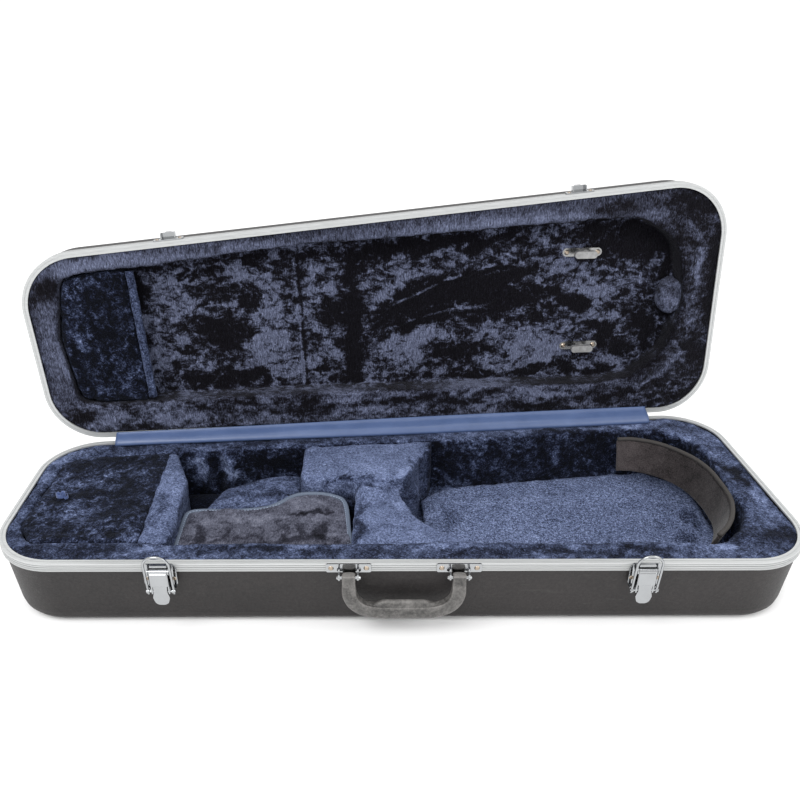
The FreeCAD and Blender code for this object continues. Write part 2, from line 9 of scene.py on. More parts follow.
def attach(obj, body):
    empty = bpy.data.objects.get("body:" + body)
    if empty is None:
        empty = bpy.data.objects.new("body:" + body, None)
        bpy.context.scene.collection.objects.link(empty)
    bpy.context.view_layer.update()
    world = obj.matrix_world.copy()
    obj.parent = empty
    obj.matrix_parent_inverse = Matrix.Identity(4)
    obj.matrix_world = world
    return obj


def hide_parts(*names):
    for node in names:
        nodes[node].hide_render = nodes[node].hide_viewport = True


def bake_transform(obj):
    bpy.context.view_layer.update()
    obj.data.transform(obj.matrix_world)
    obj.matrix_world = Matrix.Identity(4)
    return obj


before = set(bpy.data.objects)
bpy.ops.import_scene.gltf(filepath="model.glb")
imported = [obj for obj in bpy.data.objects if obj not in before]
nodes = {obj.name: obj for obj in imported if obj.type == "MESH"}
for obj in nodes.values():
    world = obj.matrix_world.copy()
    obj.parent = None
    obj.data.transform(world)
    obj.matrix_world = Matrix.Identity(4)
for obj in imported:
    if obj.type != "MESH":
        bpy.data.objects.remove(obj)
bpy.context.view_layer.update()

# ---- the case's measures, in metres; x runs along the front edge and y to the back --------------
LENGTH, WIDE_END, NARROW_END, RIM = 0.8, 0.2926, 0.2155, 0.080
OX, OY = 0.392, 0.127  # from the rim's front-left corner to the origin
TAPER = math.asin((WIDE_END - NARROW_END) / 2 / LENGTH)
CX, CY = LENGTH - WIDE_END * math.sin(TAPER), WIDE_END * math.cos(TAPER)
DX, DY = -NARROW_END * math.sin(TAPER), NARROW_END * math.cos(TAPER)
BACK = math.atan2(CY - DY, CX - DX)
U = Vector((math.cos(BACK), math.sin(BACK), 0))  # along the hinge line
N = Vector((-math.sin(BACK), math.cos(BACK), 0))  # out from the back
HINGE_END = Vector((DX - OX, DY - OY, RIM))
AXIS = HINGE_END + N * 0.003
OPEN = Matrix.Rotation(math.radians(-93.5), 3, U)
DEPTH = OPEN @ Vector((0, 0, 1))  # from the open lid's lip to its top
ALONG, OUTWARD, TURN = np.array(U), np.array(N), np.array(OPEN)


def at(x, y, z):
    """A point given from the front-left corner of the rim, in millimetres."""
    return Vector((x / 1000 - OX, y / 1000 - OY, z / 1000 + RIM))


def on_lid(s, h, z):
    """A point s along the hinge line, h out from it and z deep in the lid, in millimetres."""
    return AXIS + OPEN @ ((U * s - N * h + Vector((0, 0, z))) / 1000)


def tray_mm(co):
    """Coordinates from the front-left corner of the rim, in millimetres."""
    return (co - np.array(at(0, 0, 0))) * 1000


def lid_mm(co):
    """(s, h, z) in the shut lid, in millimetres."""
    p = (co - np.array(AXIS)) @ TURN * 1000
    return np.stack([p @ ALONG, -(p @ OUTWARD), p[:, 2]], 1)


# ---- numbers --------------------------------------------------------------------------------------
PRIMES = (374761393, 668265263, 2147483647, 1274126177)
WORD = 0xFFFFFFFF


def lattice(ix, iy, iz, seed):
    """A value from -1 to 1 for each point of a whole-number grid."""
    h = (ix * PRIMES[0] + iy * PRIMES[1] + iz * PRIMES[2] + seed * PRIMES[3]) & WORD
    h = ((h ^ (h >> 13)) * PRIMES[3]) & WORD
    return ((h ^ (h >> 16)) & 0xFFFF) / 32767.5 - 1.0


def noise(co, size, seed=1):
    """Smooth noise from -1 to 1 with features about size across."""
    p = np.asarray(co, float) / size
    i = np.floor(p).astype(np.int64)
    f = p - i
    f = f * f * f * (f * (f * 6 - 15) + 10)
    out = 0.0
    for corner in np.ndindex(2, 2, 2):
        w = np.where(corner, f, 1 - f)
        out = out + w[:, 0] * w[:, 1] * w[:, 2] * lattice(*(i + corner).T, seed)
    return out


def rise(a, b, x):
    """0 before a, 1 past b, and smooth between."""
    t = np.clip((x - a) / (b - a), 0, 1)
    return t * t * (3 - 2 * t)


def fall(a, b, x):
    """1 before a, 0 past b, and smooth between."""
    return 1 - rise(a, b, x)


def bell(x, mid, width):
    """1 at mid, and near 0 past twice the width from it."""
    return np.exp(-((x - mid) / width) ** 2)


def dabs(xy, marks, warp=7.0, seed=5):
    """Sum of soft marks, brushed pile with painted shade and highlight among them (x, y, half length,
    half width, degrees, strength), in millimetres.
    """
    pts = np.column_stack([xy, np.zeros(len(xy))])
    w = xy
    for share, size, first, second in ((1, 22, 0, 1), (0.55, 8, 2, 3), (0.3, 4, 4, 6)):
        shift = [noise(pts, size, seed + first), noise(pts, size, seed + second)]
        w = w + warp * share * np.column_stack(shift)
    out = np.zeros(len(xy))
    for x, y, a, b, deg, k in marks:
        c, s = math.cos(math.radians(deg)), math.sin(math.radians(deg))
        dx, dy = w[:, 0] - x, w[:, 1] - y
        r2 = ((dx * c + dy * s) / a) ** 2 + ((dy * c - dx * s) / b) ** 2
        out += k * np.exp(-r2 * r2)
    return out


# ---- mesh helpers ---------------------------------------------------------------------------------
def coords(me):
    co = np.empty(len(me.vertices) * 3)
    me.vertices.foreach_get("co", co)
    return co.reshape(-1, 3)


def normals(me):
    no = np.empty(len(me.vertices) * 3, np.float32)
    me.vertices.foreach_get("normal", no)
    return no.reshape(-1, 3).astype(float)


def set_coords(me, co):
    me.vertices.foreach_set("co", np.asarray(co, np.float32).ravel())
    me.update()


def new_object(name, data):
    o = bpy.data.objects.new(name, data)
    bpy.context.scene.collection.objects.link(o)
    return o


def from_bmesh(name, bm):
    me = bpy.data.meshes.new(name)
    bm.to_mesh(me)
    bm.free()
    return new_object(name, me)


def applied(o):
    """The object, with its modifiers applied."""
    bpy.context.view_layer.update()
    dg = bpy.context.evaluated_depsgraph_get()
    me = bpy.data.meshes.new_from_object(o.evaluated_get(dg))
    old = o.data
    o.modifiers.clear()
    o.data = me
    if old.users == 0:
        bpy.data.meshes.remove(old)
    return o


def from_node(name, node):
    """A new object with a copy of a CAD node's mesh."""
    bm = bmesh.new()
    bm.from_mesh(nodes[node].data)
    bmesh.ops.remove_doubles(bm, verts=bm.verts, dist=1e-6)
    return from_bmesh(name, bm)


def soften(o, voxel, rounds, swell):
    """Remesh a block finely, round its edges by smoothing, and fatten it a little."""
    m = o.modifiers.new("remesh", "REMESH")
    m.mode = "VOXEL"
    m.voxel_size = voxel
    m.use_smooth_shade = True
    s = o.modifiers.new("smooth", "SMOOTH")
    s.factor = 0.5
    s.iterations = rounds
    applied(o)
    if swell:
        set_coords(o.data, coords(o.data) + normals(o.data) * swell)
    o.data.shade_smooth()
    return o


def ruffle(o, layers):
    """Push the surface in and out by layers of (height, size, seed), in metres."""
    if layers:
        co, no = coords(o.data), normals(o.data)
        d = sum(height * noise(co, size, seed) for height, size, seed in layers)
        set_coords(o.data, co + no * d[:, None])


def paint(o, values, name):
    a = o.data.attributes.new(name, "FLOAT", "POINT")
    a.data.foreach_set("value", np.asarray(values, np.float32))


def finish_piece(o, body, material, replaces=()):
    o.data.materials.clear()
    o.data.materials.append(material)
    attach(o, body)
    if replaces:
        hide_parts(*replaces)
    return o


def tube(bm, rings):
    """Faces through rings of vertices, with both ends closed."""
    for a, b in zip(rings, rings[1:]):
        for j in range(len(a)):
            k = (j + 1) % len(a)
            bm.faces.new((a[j], a[k], b[k], b[j]))
    bm.faces.new(rings[0][::-1])
    bm.faces.new(rings[-1])


def loft(name, rings):
    """A closed mesh through rings of points."""
    bm = bmesh.new()
    tube(bm, [[bm.verts.new(p) for p in ring] for ring in np.asarray(rings, float)])
    bmesh.ops.recalc_face_normals(bm, faces=bm.faces)
    o = from_bmesh(name, bm)
    o.data.shade_smooth()
    return o


def lengths(path):
    """The distance from a path's start to each of its points."""
    return np.concatenate([[0], np.cumsum(np.linalg.norm(np.diff(path, axis=0), axis=1))])


def along(path, s, x):
    """The point or points at distance x on a path whose lengths are s."""
    return np.array([np.interp(x, s, c) for c in path.T]).T


def spline(points, count):
    """Evenly spaced points on a smooth curve through the given ones."""
    p = np.asarray(points, float)
    q = np.vstack([2 * p[0] - p[1], p, 2 * p[-1] - p[-2]])
    fine = []
    for a, b, c, d in zip(q, q[1:], q[2:], q[3:]):
        for u in np.linspace(0, 1, 24, endpoint=False):
            fine.append(0.5 * (2 * b + (c - a) * u + (2 * a - 5 * b + 4 * c - d) * u * u
                               + (3 * b - a - 3 * c + d) * u ** 3))
    fine = np.array(fine + [q[-2]])
    s = lengths(fine)
    return along(fine, s, np.linspace(0, s[-1], count))


def frames(path, up=(0, 0, 1)):
    """For each point of a path: its side and up directions."""
    t = np.gradient(path, axis=0)
    t /= np.linalg.norm(t, axis=1)[:, None]
    side = np.cross(t, np.array(up, float))
    side /= np.linalg.norm(side, axis=1)[:, None]
    return side, np.cross(side, t)


def sweep(name, path, section, up=(0, 0, 1)):
    """Carry a section of (side, up) points along a path; it may be a function of the share done."""
    side, over = frames(path, up)
    rings = []
    for i, p in enumerate(path):
        sec = section(i / (len(path) - 1)) if callable(section) else section
        rings.append([p + side[i] * a + over[i] * b for a, b in sec])
    return loft(name, rings)


def oval(w, h, n=16, power=2.0, dx=0.0, dy=0.0):
    """A superellipse of half width w and half height h, moved by (dx, dy)."""
    out = []
    for k in range(n):
        a = 2 * math.pi * k / n
        c, s = math.cos(a), math.sin(a)
        out.append((dx + w * math.copysign(abs(c) ** (2 / power), c),
                    dy + h * math.copysign(abs(s) ** (2 / power), s)))
    return out


def stitches(name, path, lift, material, body, pitch=0.0034, length=0.0021, thick=0.00035):
    """A row of short raised thread lengths along a path."""
    s = lengths(path)
    side, over = frames(path)
    bm = bmesh.new()
    start = 0.001
    while start + length < s[-1]:
        i = min(int(np.searchsorted(s, start)), len(path) - 1)
        rings = []
        for share, r, z in ((0, 0.4, 0), (0.5, 1.0, 0.6), (1, 0.4, 0)):
            q = along(path, s, start + share * length)
            rings.append([bm.verts.new(q + side[i] * a * r + over[i] * (b * r + lift + z * thick))
                          for a, b in oval(thick, thick, 6)])
        tube(bm, rings)
        start += pitch
    bmesh.ops.recalc_face_normals(bm, faces=bm.faces)
    return finish_piece(from_bmesh(name, bm), body, material)


# ---- materials ------------------------------------------------------------------------------------
class Mat:
    """A small wrapper for node materials."""

    def __init__(self, name):
        self.m = bpy.data.materials.new(name)
        self.m.use_nodes = True
        self.t = self.m.node_tree
        self.t.nodes.clear()
        out = self.node("OutputMaterial")
        self.bsdf = self.node("BsdfPrincipled")
        self.link(self.bsdf.outputs[0], out.inputs[0])
        self.coord = self.node("TexCoord").outputs["Object"]

    def node(self, kind, **inputs):
        n = self.t.nodes.new("ShaderNode" + kind)
        for k, v in inputs.items():
            n.inputs[k].default_value = v
        return n

    def link(self, a, b):
        self.t.links.new(a, b)

    def set(self, **values):
        for k, v in values.items():
            self.bsdf.inputs[k.replace("_", " ")].default_value = v

    def put(self, name, socket):
        self.link(socket, self.bsdf.inputs[name])

    def mapped(self, scale, at=(0, 0, 0)):
        n = self.node("Mapping", Scale=scale, Location=at)
        self.link(self.coord, n.inputs["Vector"])
        return n.outputs[0]

    def noise(self, scale, detail=3.0, rough=0.55, vector=None, distort=0.0):
        n = self.node("TexNoise", Scale=scale, Detail=detail, Roughness=rough, Distortion=distort)
        self.link(vector or self.coord, n.inputs["Vector"])
        return n.outputs[0]

    def wave(self, scale, distort, detail):
        n = self.node("TexWave", Scale=scale, Distortion=distort, Detail=detail)
        n.wave_type = "BANDS"
        n.bands_direction = "X"
        self.link(self.coord, n.inputs["Vector"])
        return n.outputs[1]

    def cells(self, scale):
        n = self.node("TexVoronoi", Scale=scale)
        self.link(self.coord, n.inputs["Vector"])
        return n.outputs[0]

    def attribute(self, name):
        n = self.node("Attribute")
        n.attribute_name = name
        return n.outputs["Fac"]

    def math(self, op, a, b, clamp=False):
        n = self.node("Math")
        n.operation = op
        n.use_clamp = clamp
        for k, v in enumerate((a, b)):
            if isinstance(v, (int, float)):
                n.inputs[k].default_value = v
            else:
                self.link(v, n.inputs[k])
        return n.outputs[0]

    def swing(self, a, k):
        """k times how far a is from its middle."""
        return self.math("MULTIPLY", self.math("SUBTRACT", a, 0.5), k)

    def blend(self, a, share, b, other):
        return self.math("ADD", self.math("MULTIPLY", a, share), self.math("MULTIPLY", b, other))

    def rough(self, base, a, k):
        self.put("Roughness", self.math("ADD", base, self.math("MULTIPLY", a, k)))

    def ramp(self, fac, stops):
        n = self.node("ValToRGB")
        e = n.color_ramp.elements
        e[0].position, e[0].color = stops[0][0], (*stops[0][1], 1)
        e[1].position, e[1].color = stops[-1][0], (*stops[-1][1], 1)
        for pos, col in stops[1:-1]:
            e.new(pos).color = (*col, 1)
        self.link(fac, n.inputs[0])
        return n.outputs[0]

    def steps(self, fac, *stops):
        """A ramp of grey values, as a number."""
        return self.ramp(fac, [(p, (v, v, v)) for p, v in stops])

    def mix(self, fac, a, b):
        n = self.node("Mix")
        n.data_type = "RGBA"
        for k, v in ((0, fac), (6, a), (7, b)):
            if isinstance(v, tuple):
                n.inputs[k].default_value = (*v, 1)
            else:
                self.link(v, n.inputs[k])
        return n.outputs[2]

    def bump(self, *layers):
        """Bumps of (height socket, strength, distance in metres), one on another."""
        last = None
        for height, strength, distance in layers:
            n = self.node("Bump", Strength=strength, Distance=distance)
            self.link(height, n.inputs["Height"])
            if last:
                self.link(last, n.inputs["Normal"])
            last = n.outputs[0]
        self.put("Normal", last)


def srgb(*rgb):
    """Linear light from a display colour of 0 to 255."""
    return tuple(c / 3294.6 if c <= 10.3 else ((c / 255 + 0.055) / 1.055) ** 2.4 for c in rgb)


BROAD, SMALL, TUFT, FIBRE = 24, 110, 480, 1100  # scales of the pile's patterns
MIDDLE, DARKEST, PALEST = 0.42, 0.1, 0.68  # pile values that a crisp plush is pushed towards


def plush(name, stops, seed=0.0, grain=1.0, crisp=1.0, ribs=(1, 1, 1), stretch=(1, 1, 1),
          tint=(0.55, 0.63, 0.85)):
    """Crushed velvet: nap_and_shade says how the pile leans, with painted shade on walls and in creases
    and painted highlight on folds; unrest says how much it is ruffled there.
    """
    m = Mat(name)
    v = m.mapped(stretch, (seed, seed * 0.7, -seed))
    broad = m.noise(BROAD, 5, 0.68, v, 0.7)
    small = m.noise(SMALL, 5, 0.75, v, 0.6)
    tuft = m.noise(TUFT, 3, 0.62, m.mapped(ribs, (seed, 0, 0)), 0.6)
    fibre = m.noise(FIBRE, 2, 0.7, m.mapped(ribs))
    wild = m.math("ADD", m.swing(broad, 1.5), m.swing(small, 2.2))
    # the pile value read here also holds painted shade and painted highlight
    t = m.math("ADD", m.attribute("nap_and_shade"), m.math("MULTIPLY", wild, m.attribute("unrest")))
    if crisp > 1:
        t = m.math("ADD", m.math("MULTIPLY", m.math("SUBTRACT", t, MIDDLE), crisp), MIDDLE)
        t = m.math("MINIMUM", m.math("MAXIMUM", t, DARKEST), PALEST)
    t = m.math("ADD", t, m.swing(tuft, 0.75 * grain))
    t = m.math("ADD", t, m.swing(fibre, 0.6 * grain))
    m.put("Base Color", m.ramp(t, stops))
    m.set(Roughness=0.95, Specular_IOR_Level=0.06, Sheen_Weight=0.06, Sheen_Roughness=0.5,
          Sheen_Tint=(*tint, 1))
    m.bump((tuft, 0.9, 0.0024), (fibre, 0.5, 0.0008))
    return m.m


def metal(name, colour, rough, scratch):
    m = Mat(name)
    grime = m.noise(60, 4, 0.65)
    fine = m.noise(900, 3, 0.6)
    worn = m.steps(grime, (0.35, 0.0), (0.7, 1.0))
    m.put("Base Color", m.mix(m.math("MULTIPLY", worn, 0.5), colour, tuple(c * 0.82 for c in colour)))
    m.rough(rough, m.math("MULTIPLY", fine, grime), scratch)
    m.set(Metallic=1.0)
    m.bump((fine, 0.08, 0.0002))
    return m.m


def valance(name, node, origin, axis):
    """Drawn aluminium with three grooves along its face, painted as dark lines of shade; u is the share
    of its height from the lip.
    """
    height = 0.0093
    w = nodes[node].matrix_world
    m = Mat(name)
    dot = m.node("VectorMath")
    dot.operation = "DOT_PRODUCT"
    dot.inputs[1].default_value = w.to_3x3().transposed() @ axis
    m.link(m.coord, dot.inputs[0])
    u = m.math("DIVIDE", m.math("ADD", dot.outputs["Value"], axis.dot(w.translation - origin)), height)
    # painted shade: dark bands where the grooves run
    groove_shade = m.steps(u, (0.0, 0.0), (0.2, 0.0), (0.25, 1.0), (0.3, 0.0), (0.5, 0.0), (0.54, 0.8),
                     (0.58, 0.0), (0.77, 0.0), (0.82, 1.0), (0.88, 0.1), (1.0, 0.5))
    brush = m.noise(260, 3, 0.6, m.mapped((0.06, 3, 6)))
    base = m.ramp(brush, [(0.3, (0.42, 0.43, 0.43)), (0.7, (0.52, 0.53, 0.53))])
    m.put("Base Color", m.mix(m.math("MULTIPLY", groove_shade, 0.72), base, (0.1, 0.1, 0.105)))
    m.rough(0.3, brush, 0.25)
    m.set(Metallic=0.5)
    m.bump((brush, 0.1, 0.0002))
    return m.m


def shell_plastic():
    """Pebbled black plastic, clouded and lightly scuffed."""
    m = Mat("abs_shell")
    grain = m.noise(700, 4, 0.6)
    cloud = m.noise(9, 5, 0.6)
    scuff = m.noise(50, 6, 0.75, m.mapped((0.3, 1, 2.5)), 1.5)
    pebble = m.noise(330, 3, 0.65)
    base = m.ramp(m.blend(cloud, 0.45, pebble, 0.55),
                  [(0.35, (0.0026, 0.0018, 0.002)), (0.65, (0.0185, 0.0152, 0.0152))])
    rubbed = m.steps(scuff, (0.6, 0.0), (0.78, 1.0))
    m.put("Base Color", m.mix(m.math("MULTIPLY", rubbed, 0.3), base, (0.1, 0.098, 0.09)))
    m.rough(0.4, grain, 0.3)
    m.set(Specular_IOR_Level=0.42)
    m.bump((grain, 0.4, 0.0004), (pebble, 0.3, 0.0006))
    return m.m


def grip_rubber():
    """Black rubber, rubbed pale on its edges and in patches."""
    m = Mat("handle_rubber")
    grain = m.noise(420, 4, 0.7)
    wear = m.noise(70, 6, 0.75, None, 0.8)
    edge = m.steps(m.node("NewGeometry").outputs["Pointiness"], (0.505, 0.0), (0.56, 0.75))
    patches = m.steps(m.blend(wear, 0.6, grain, 0.4), (0.4, 0.0), (0.62, 0.75))
    m.put("Base Color", m.mix(m.math("ADD", edge, patches, True), (0.022, 0.021, 0.02),
                              (0.155, 0.148, 0.142)))
    m.rough(0.36, wear, 0.3)
    m.bump((grain, 0.35, 0.0005), (wear, 0.2, 0.001))
    return m.m


def strip_vinyl():
    m = Mat("vinyl")
    cloud = m.noise(30, 4, 0.6)
    m.put("Base Color", m.ramp(cloud, [(0.3, (0.055, 0.088, 0.19)), (0.7, (0.075, 0.115, 0.235))]))
    m.rough(0.26, cloud, 0.12)
    m.bump((m.cells(900), 0.15, 0.0003), (cloud, 0.3, 0.002))
    return m.m


def brown_felt():
    """Felt whose tone follows the nap_and_shade attribute painted on it, which holds painted shade."""
    m = Mat("strip_felt")
    weave = m.noise(800, 3, 0.7)
    tone = m.math("ADD", m.blend(weave, 0.6, m.noise(60, 5, 0.7), 0.4), m.attribute("nap_and_shade"))
    m.put("Base Color", m.ramp(tone, [(0.34, (0.006, 0.005, 0.0052)), (0.66, (0.078, 0.066, 0.067))]))
    m.set(Roughness=0.95, Specular_IOR_Level=0.1, Sheen_Weight=0.2)
    m.bump((weave, 0.6, 0.0008))
    return m.m


def grey_paddle():
    m = Mat("paddle")
    cloud = m.noise(200, 4, 0.6)
    m.put("Base Color", m.ramp(cloud, [(0.3, (0.2, 0.2, 0.2)), (0.7, (0.33, 0.33, 0.33))]))
    m.rough(0.3, cloud, 0.2)
    m.set(Metallic=0.5)
    m.bump((cloud, 0.05, 0.0003))
    return m.m


def one_texture(name, pattern, dark, light, roughness, relief=None, low=0.3, **values):
    """A material whose single pattern gives its colour, from dark to light, and its relief."""
    m = Mat(name)
    texture = pattern(m)
    m.put("Base Color", m.ramp(texture, [(low, dark), (1 - low, light)]))
    m.set(Roughness=roughness, **values)
    if relief:
        m.bump((texture, *relief))
    return m.m


TRAY_STOPS = [(0.0, srgb(5, 6, 12)), (0.25, srgb(22, 26, 42)), (0.5, srgb(66, 75, 101)),
              (0.75, srgb(112, 124, 158)), (1.0, srgb(156, 170, 206))]
LID_STOPS = [(0.0, srgb(5, 4, 7)), (0.28, srgb(16, 15, 21)), (0.5, srgb(54, 57, 72)),
             (0.75, srgb(96, 102, 125)), (1.0, srgb(142, 150, 180))]
FLAP_STOPS = [(0.0, srgb(14, 13, 17)), (0.3, srgb(46, 46, 56)), (0.6, srgb(94, 96, 110)),
              (1.0, srgb(140, 142, 156))]
plush_tray = plush("plush_tray", TRAY_STOPS, grain=1.3)
plush_deck = plush("plush_deck", TRAY_STOPS, grain=2.1)
plush_lid = plush("plush_lid", LID_STOPS, 3.1, 1.2, 1.5, (1.5, 1.5, 0.35), (0.8, 1, 1.25),
                  (0.7, 0.72, 0.85))
plush_flap = plush("plush_flap", FLAP_STOPS, 5.3, 0.9, ribs=(1.3, 0.6, 1))
chrome = metal("chrome", (0.36, 0.37, 0.38), 0.07, 0.2)
rivet_metal = metal("rivet", (0.36, 0.3, 0.24), 0.2, 0.35)
dark_plate = metal("dark_plate", (0.3, 0.3, 0.3), 0.2, 0.3)
valance_metal = {
    "tray_valance": valance("valance_tray", "tray_valance", Vector((0, 0, RIM)), Vector((0, 0, -1))),
    "lid_valance": valance("valance_lid", "lid_valance", AXIS, DEPTH)}
abs_plastic = shell_plastic()
handle_rubber = grip_rubber()
vinyl = strip_vinyl()
strip_felt = brown_felt()
paddle_plastic = grey_paddle()
piping_tape = one_texture("piping", lambda m: m.wave(700, 2.0, 2.0), (0.02, 0.018, 0.017),
                          (0.052, 0.047, 0.044), 0.85, (0.4, 0.0004), 0.2)
binding_tape = one_texture("binding", lambda m: m.noise(1100, 3, 0.7), (0.062, 0.08, 0.118),
                           (0.12, 0.15, 0.205), 0.7, (0.4, 0.0005))
thread = one_texture("thread", lambda m: m.noise(2500, 2, 0.5), srgb(120, 134, 158),
                     srgb(165, 176, 196), 0.6)
strip_thread = one_texture("strip_thread", lambda m: m.noise(2500, 2, 0.5), srgb(30, 27, 27),
                           srgb(52, 48, 47), 0.7)
ribbon = one_texture("ribbon", lambda m: m.wave(900, 0.5, 1.0), srgb(52, 68, 110),
                     srgb(92, 112, 164), 0.45, (0.3, 0.0002), Sheen_Weight=0.3)
floor_white = one_texture("floor_white", lambda m: m.noise(3, 2, 0.5), (0.93, 0.93, 0.93),
                          (0.95, 0.95, 0.95), 0.9)

# ---- materials on the CAD pieces ------------------------------------------------------------------
for name, o in nodes.items():
    if name in ("tray_shell", "lid_shell"):
        mat = abs_plastic
    elif name in valance_metal:
        mat = valance_metal[name]
    elif "rivets" in name:
        mat = rivet_metal
    elif name == "handle_grip":
        mat = handle_rubber
    elif name.startswith("bow_paddle"):
        mat = paddle_plastic
    elif name in ("bow_holder_upper", "bow_holder_lower"):
        mat = dark_plate
    elif name.startswith(("latch", "lid_catch", "hinge_", "handle_")):
        mat = chrome
    else:
        mat = plush_tray
    o.data.materials.clear()
    o.data.materials.append(mat)

# ---- brushed marks, with painted shade and highlight among them, as dabs() reads them -------------
# on the tray: from the front-left corner of the rim; a wall's second number is its height
LINING = [(205, 22, 14, 7, 0, -0.22), (232, 20, 16, 7, 0, -0.26), (254, 22, 10, 6, 0, -0.12),
          (222, 27, 7, 5, 0, 0.12), (245, 29, 8, 5, 20, 0.16), (272, 22, 20, 7, 0, -0.2),
          (296, 27, 14, 6, 0, 0.16), (318, 21, 18, 6, 0, -0.2), (324, 28, 6, 5, 60, 0.14),
          (60, 18, 60, 12, 0, -0.2), (110, 24, 20, 8, 0, -0.1), (165, 26, 22, 7, 0, 0.18),
          (380, 28, 16, 6, 20, 0.12), (360, 20, 20, 6, 0, -0.1), (425, 26, 20, 6, 20, 0.1),
          (470, 20, 34, 7, 0, -0.18), (470, 32, 20, 5, 0, 0.1), (530, 22, 36, 8, 0, -0.22),
          (560, 30, 24, 5, 0, 0.12), (640, 30, 40, 5, 0, 0.12), (600, 20, 60, 6, 0, -0.16),
          (700, 24, 24, 8, 10, 0.15), (730, 40, 16, 8, 40, -0.28), (770, 42, 20, 16, 20, -0.25),
          (790, 80, 14, 20, 0, 0.1), (778, 110, 6, 26, -10, 0.18), (768, 150, 8, 16, 0, -0.25),
          (775, 190, 12, 22, 30, 0.12), (745, 235, 30, 8, -30, 0.14), (738, 222, 22, 6, -40, -0.4),
          (762, 170, 5, 34, 20, -0.35), (690, 252, 30, 6, 0, -0.32), (650, 262, 50, 5, 5, 0.14),
          (600, 246, 60, 5, 4, -0.3), (520, 248, 60, 8, 4, 0.14), (540, 232, 60, 5, 5, -0.1),
          (2, 120, 6, 90, -5, 0.16), (8, 60, 10, 20, 0, 0.14), (16, 190, 20, 12, 40, 0.05),
          (160, 214, 30, 7, 5, 0.12), (90, 207, 50, 5, 5, -0.12), (230, 224, 60, 5, 5, -0.15),
          (780, 230, 18, 20, 0, 0.12), (700, 270, 50, 6, 8, 0.1)]
# on the scroll well's back wall, the folds near x 160 and 194 are painted paler and the hollow near x
# 176 darker: painted highlight and painted shade
LINING_WALLS = [(160, -24, 9, 24, 0, 0.5), (194, -24, 11, 22, 0, 0.48), (176, -24, 4, 24, 10, -0.1),
                (245, -20, 40, 14, 0, -0.2), (235, -12, 50, 4, 0, 0.2), (560, -32, 70, 12, 0, -0.14),
                (455, -30, 16, 22, 0, -0.15), (500, -36, 26, 10, 20, 0.14), (575, -34, 12, 14, 0, 0.16),
                (650, -26, 14, 30, 0, -0.2), (610, -18, 40, 6, 0, -0.12), (540, -14, 60, 5, 0, 0.08)]
# on the neck block: the dark line along the step near y 140, the pale and dark marks beside the ridge
# near x 400 to 420, and the dark strips near x 350 by the flap's edge are painted shade and painted
# highlight
NECK = [(330, 140, 50, 3.4, 1, -0.34), (411.5, 172, 2.6, 20, 26, -0.3), (402, 152, 3.4, 26, -30, 0.2),
        (408, 140, 4, 24, -30, -0.34), (420, 182, 3, 12, -20, 0.18), (350, 60, 5, 30, 0, -0.34),
        (385, 66, 40, 3.6, 2, -0.1), (372, 104, 18, 4, 12, -0.08), (430, 212, 10, 16, 0, -0.25),
        (396, 120, 5, 18, -24, 0.12), (352, 100, 5, 26, 0, -0.2), (312, 205, 30, 8, 4, -0.06),
        (360, 160, 8, 22, 50, 0.06)]
FLOOR = [(446, 90, 8, 26, 0, -0.2), (470, 76, 40, 3.5, 6, -0.26), (520, 70, 30, 3, 8, -0.08),
         (600, 92, 24, 3.4, 28, -0.12), (628, 118, 12, 3, 40, -0.1), (640, 76, 36, 4, 8, -0.1),
         (700, 80, 24, 5, 30, -0.2), (715, 120, 14, 16, 20, -0.2), (690, 150, 10, 12, 0, -0.12),
         (452, 150, 10, 24, 0, -0.14), (560, 190, 100, 12, 5, 0.05), (735, 150, 6, 26, 10, -0.25),
         (560, 70, 120, 2.5, 0, -0.1)]
DIVIDER = [(141, 90, 3, 40, -6, -0.14), (155, 60, 5, 14, 0, -0.08), (160, 150, 6, 20, 0, 0.06)]
SCROLL = [(205, 150, 14, 6, 20, -0.2), (232, 158, 12, 3, 10, 0.14), (262, 180, 14, 3, 4, 0.18),
          (250, 150, 20, 6, 10, -0.14)]
COVER = [(64, 176, 40, 8, 5, -0.12), (100, 185, 22, 8, 0, -0.16), (62, 150, 16, 5, 10, 0.12),
         (40, 150, 16, 6, 0, -0.1), (92, 140, 16, 16, 20, -0.2), (86, 128, 7, 3, 10, 0.3),
         (58, 128, 30, 4, 6, 0.1), (100, 115, 14, 10, 30, -0.12), (60, 100, 40, 6, 4, 0.06),
         (30, 96, 14, 10, 0, -0.08), (96, 76, 20, 8, 0, -0.16), (120, 78, 6, 4, 0, 0.16),
         (50, 70, 40, 8, 6, 0.1), (75, 50, 40, 2.4, 4, -0.22), (90, 44, 30, 3, 0, 0.14),
         (112, 52, 10, 6, 0, -0.1), (105, 160, 12, 5, 60, 0.14), (22, 66, 6, 22, -30, -0.1)]
FLAP_MARKS = [(185, 70, 4, 14, 0, -0.33), (214, 66, 3, 12, 0, -0.18), (270, 66, 4, 16, 0, -0.24),
              (288, 70, 3, 12, 0, -0.21), (312, 72, 10, 22, 0, -0.36), (296, 108, 24, 3, 4, -0.42),
              (290, 122, 22, 7, 4, 0.15), (320, 112, 6, 4, 0, -0.3), (240, 96, 40, 8, 4, 0.18),
              (200, 92, 22, 8, 0, 0.09), (250, 58, 90, 5, 0, -0.18)]
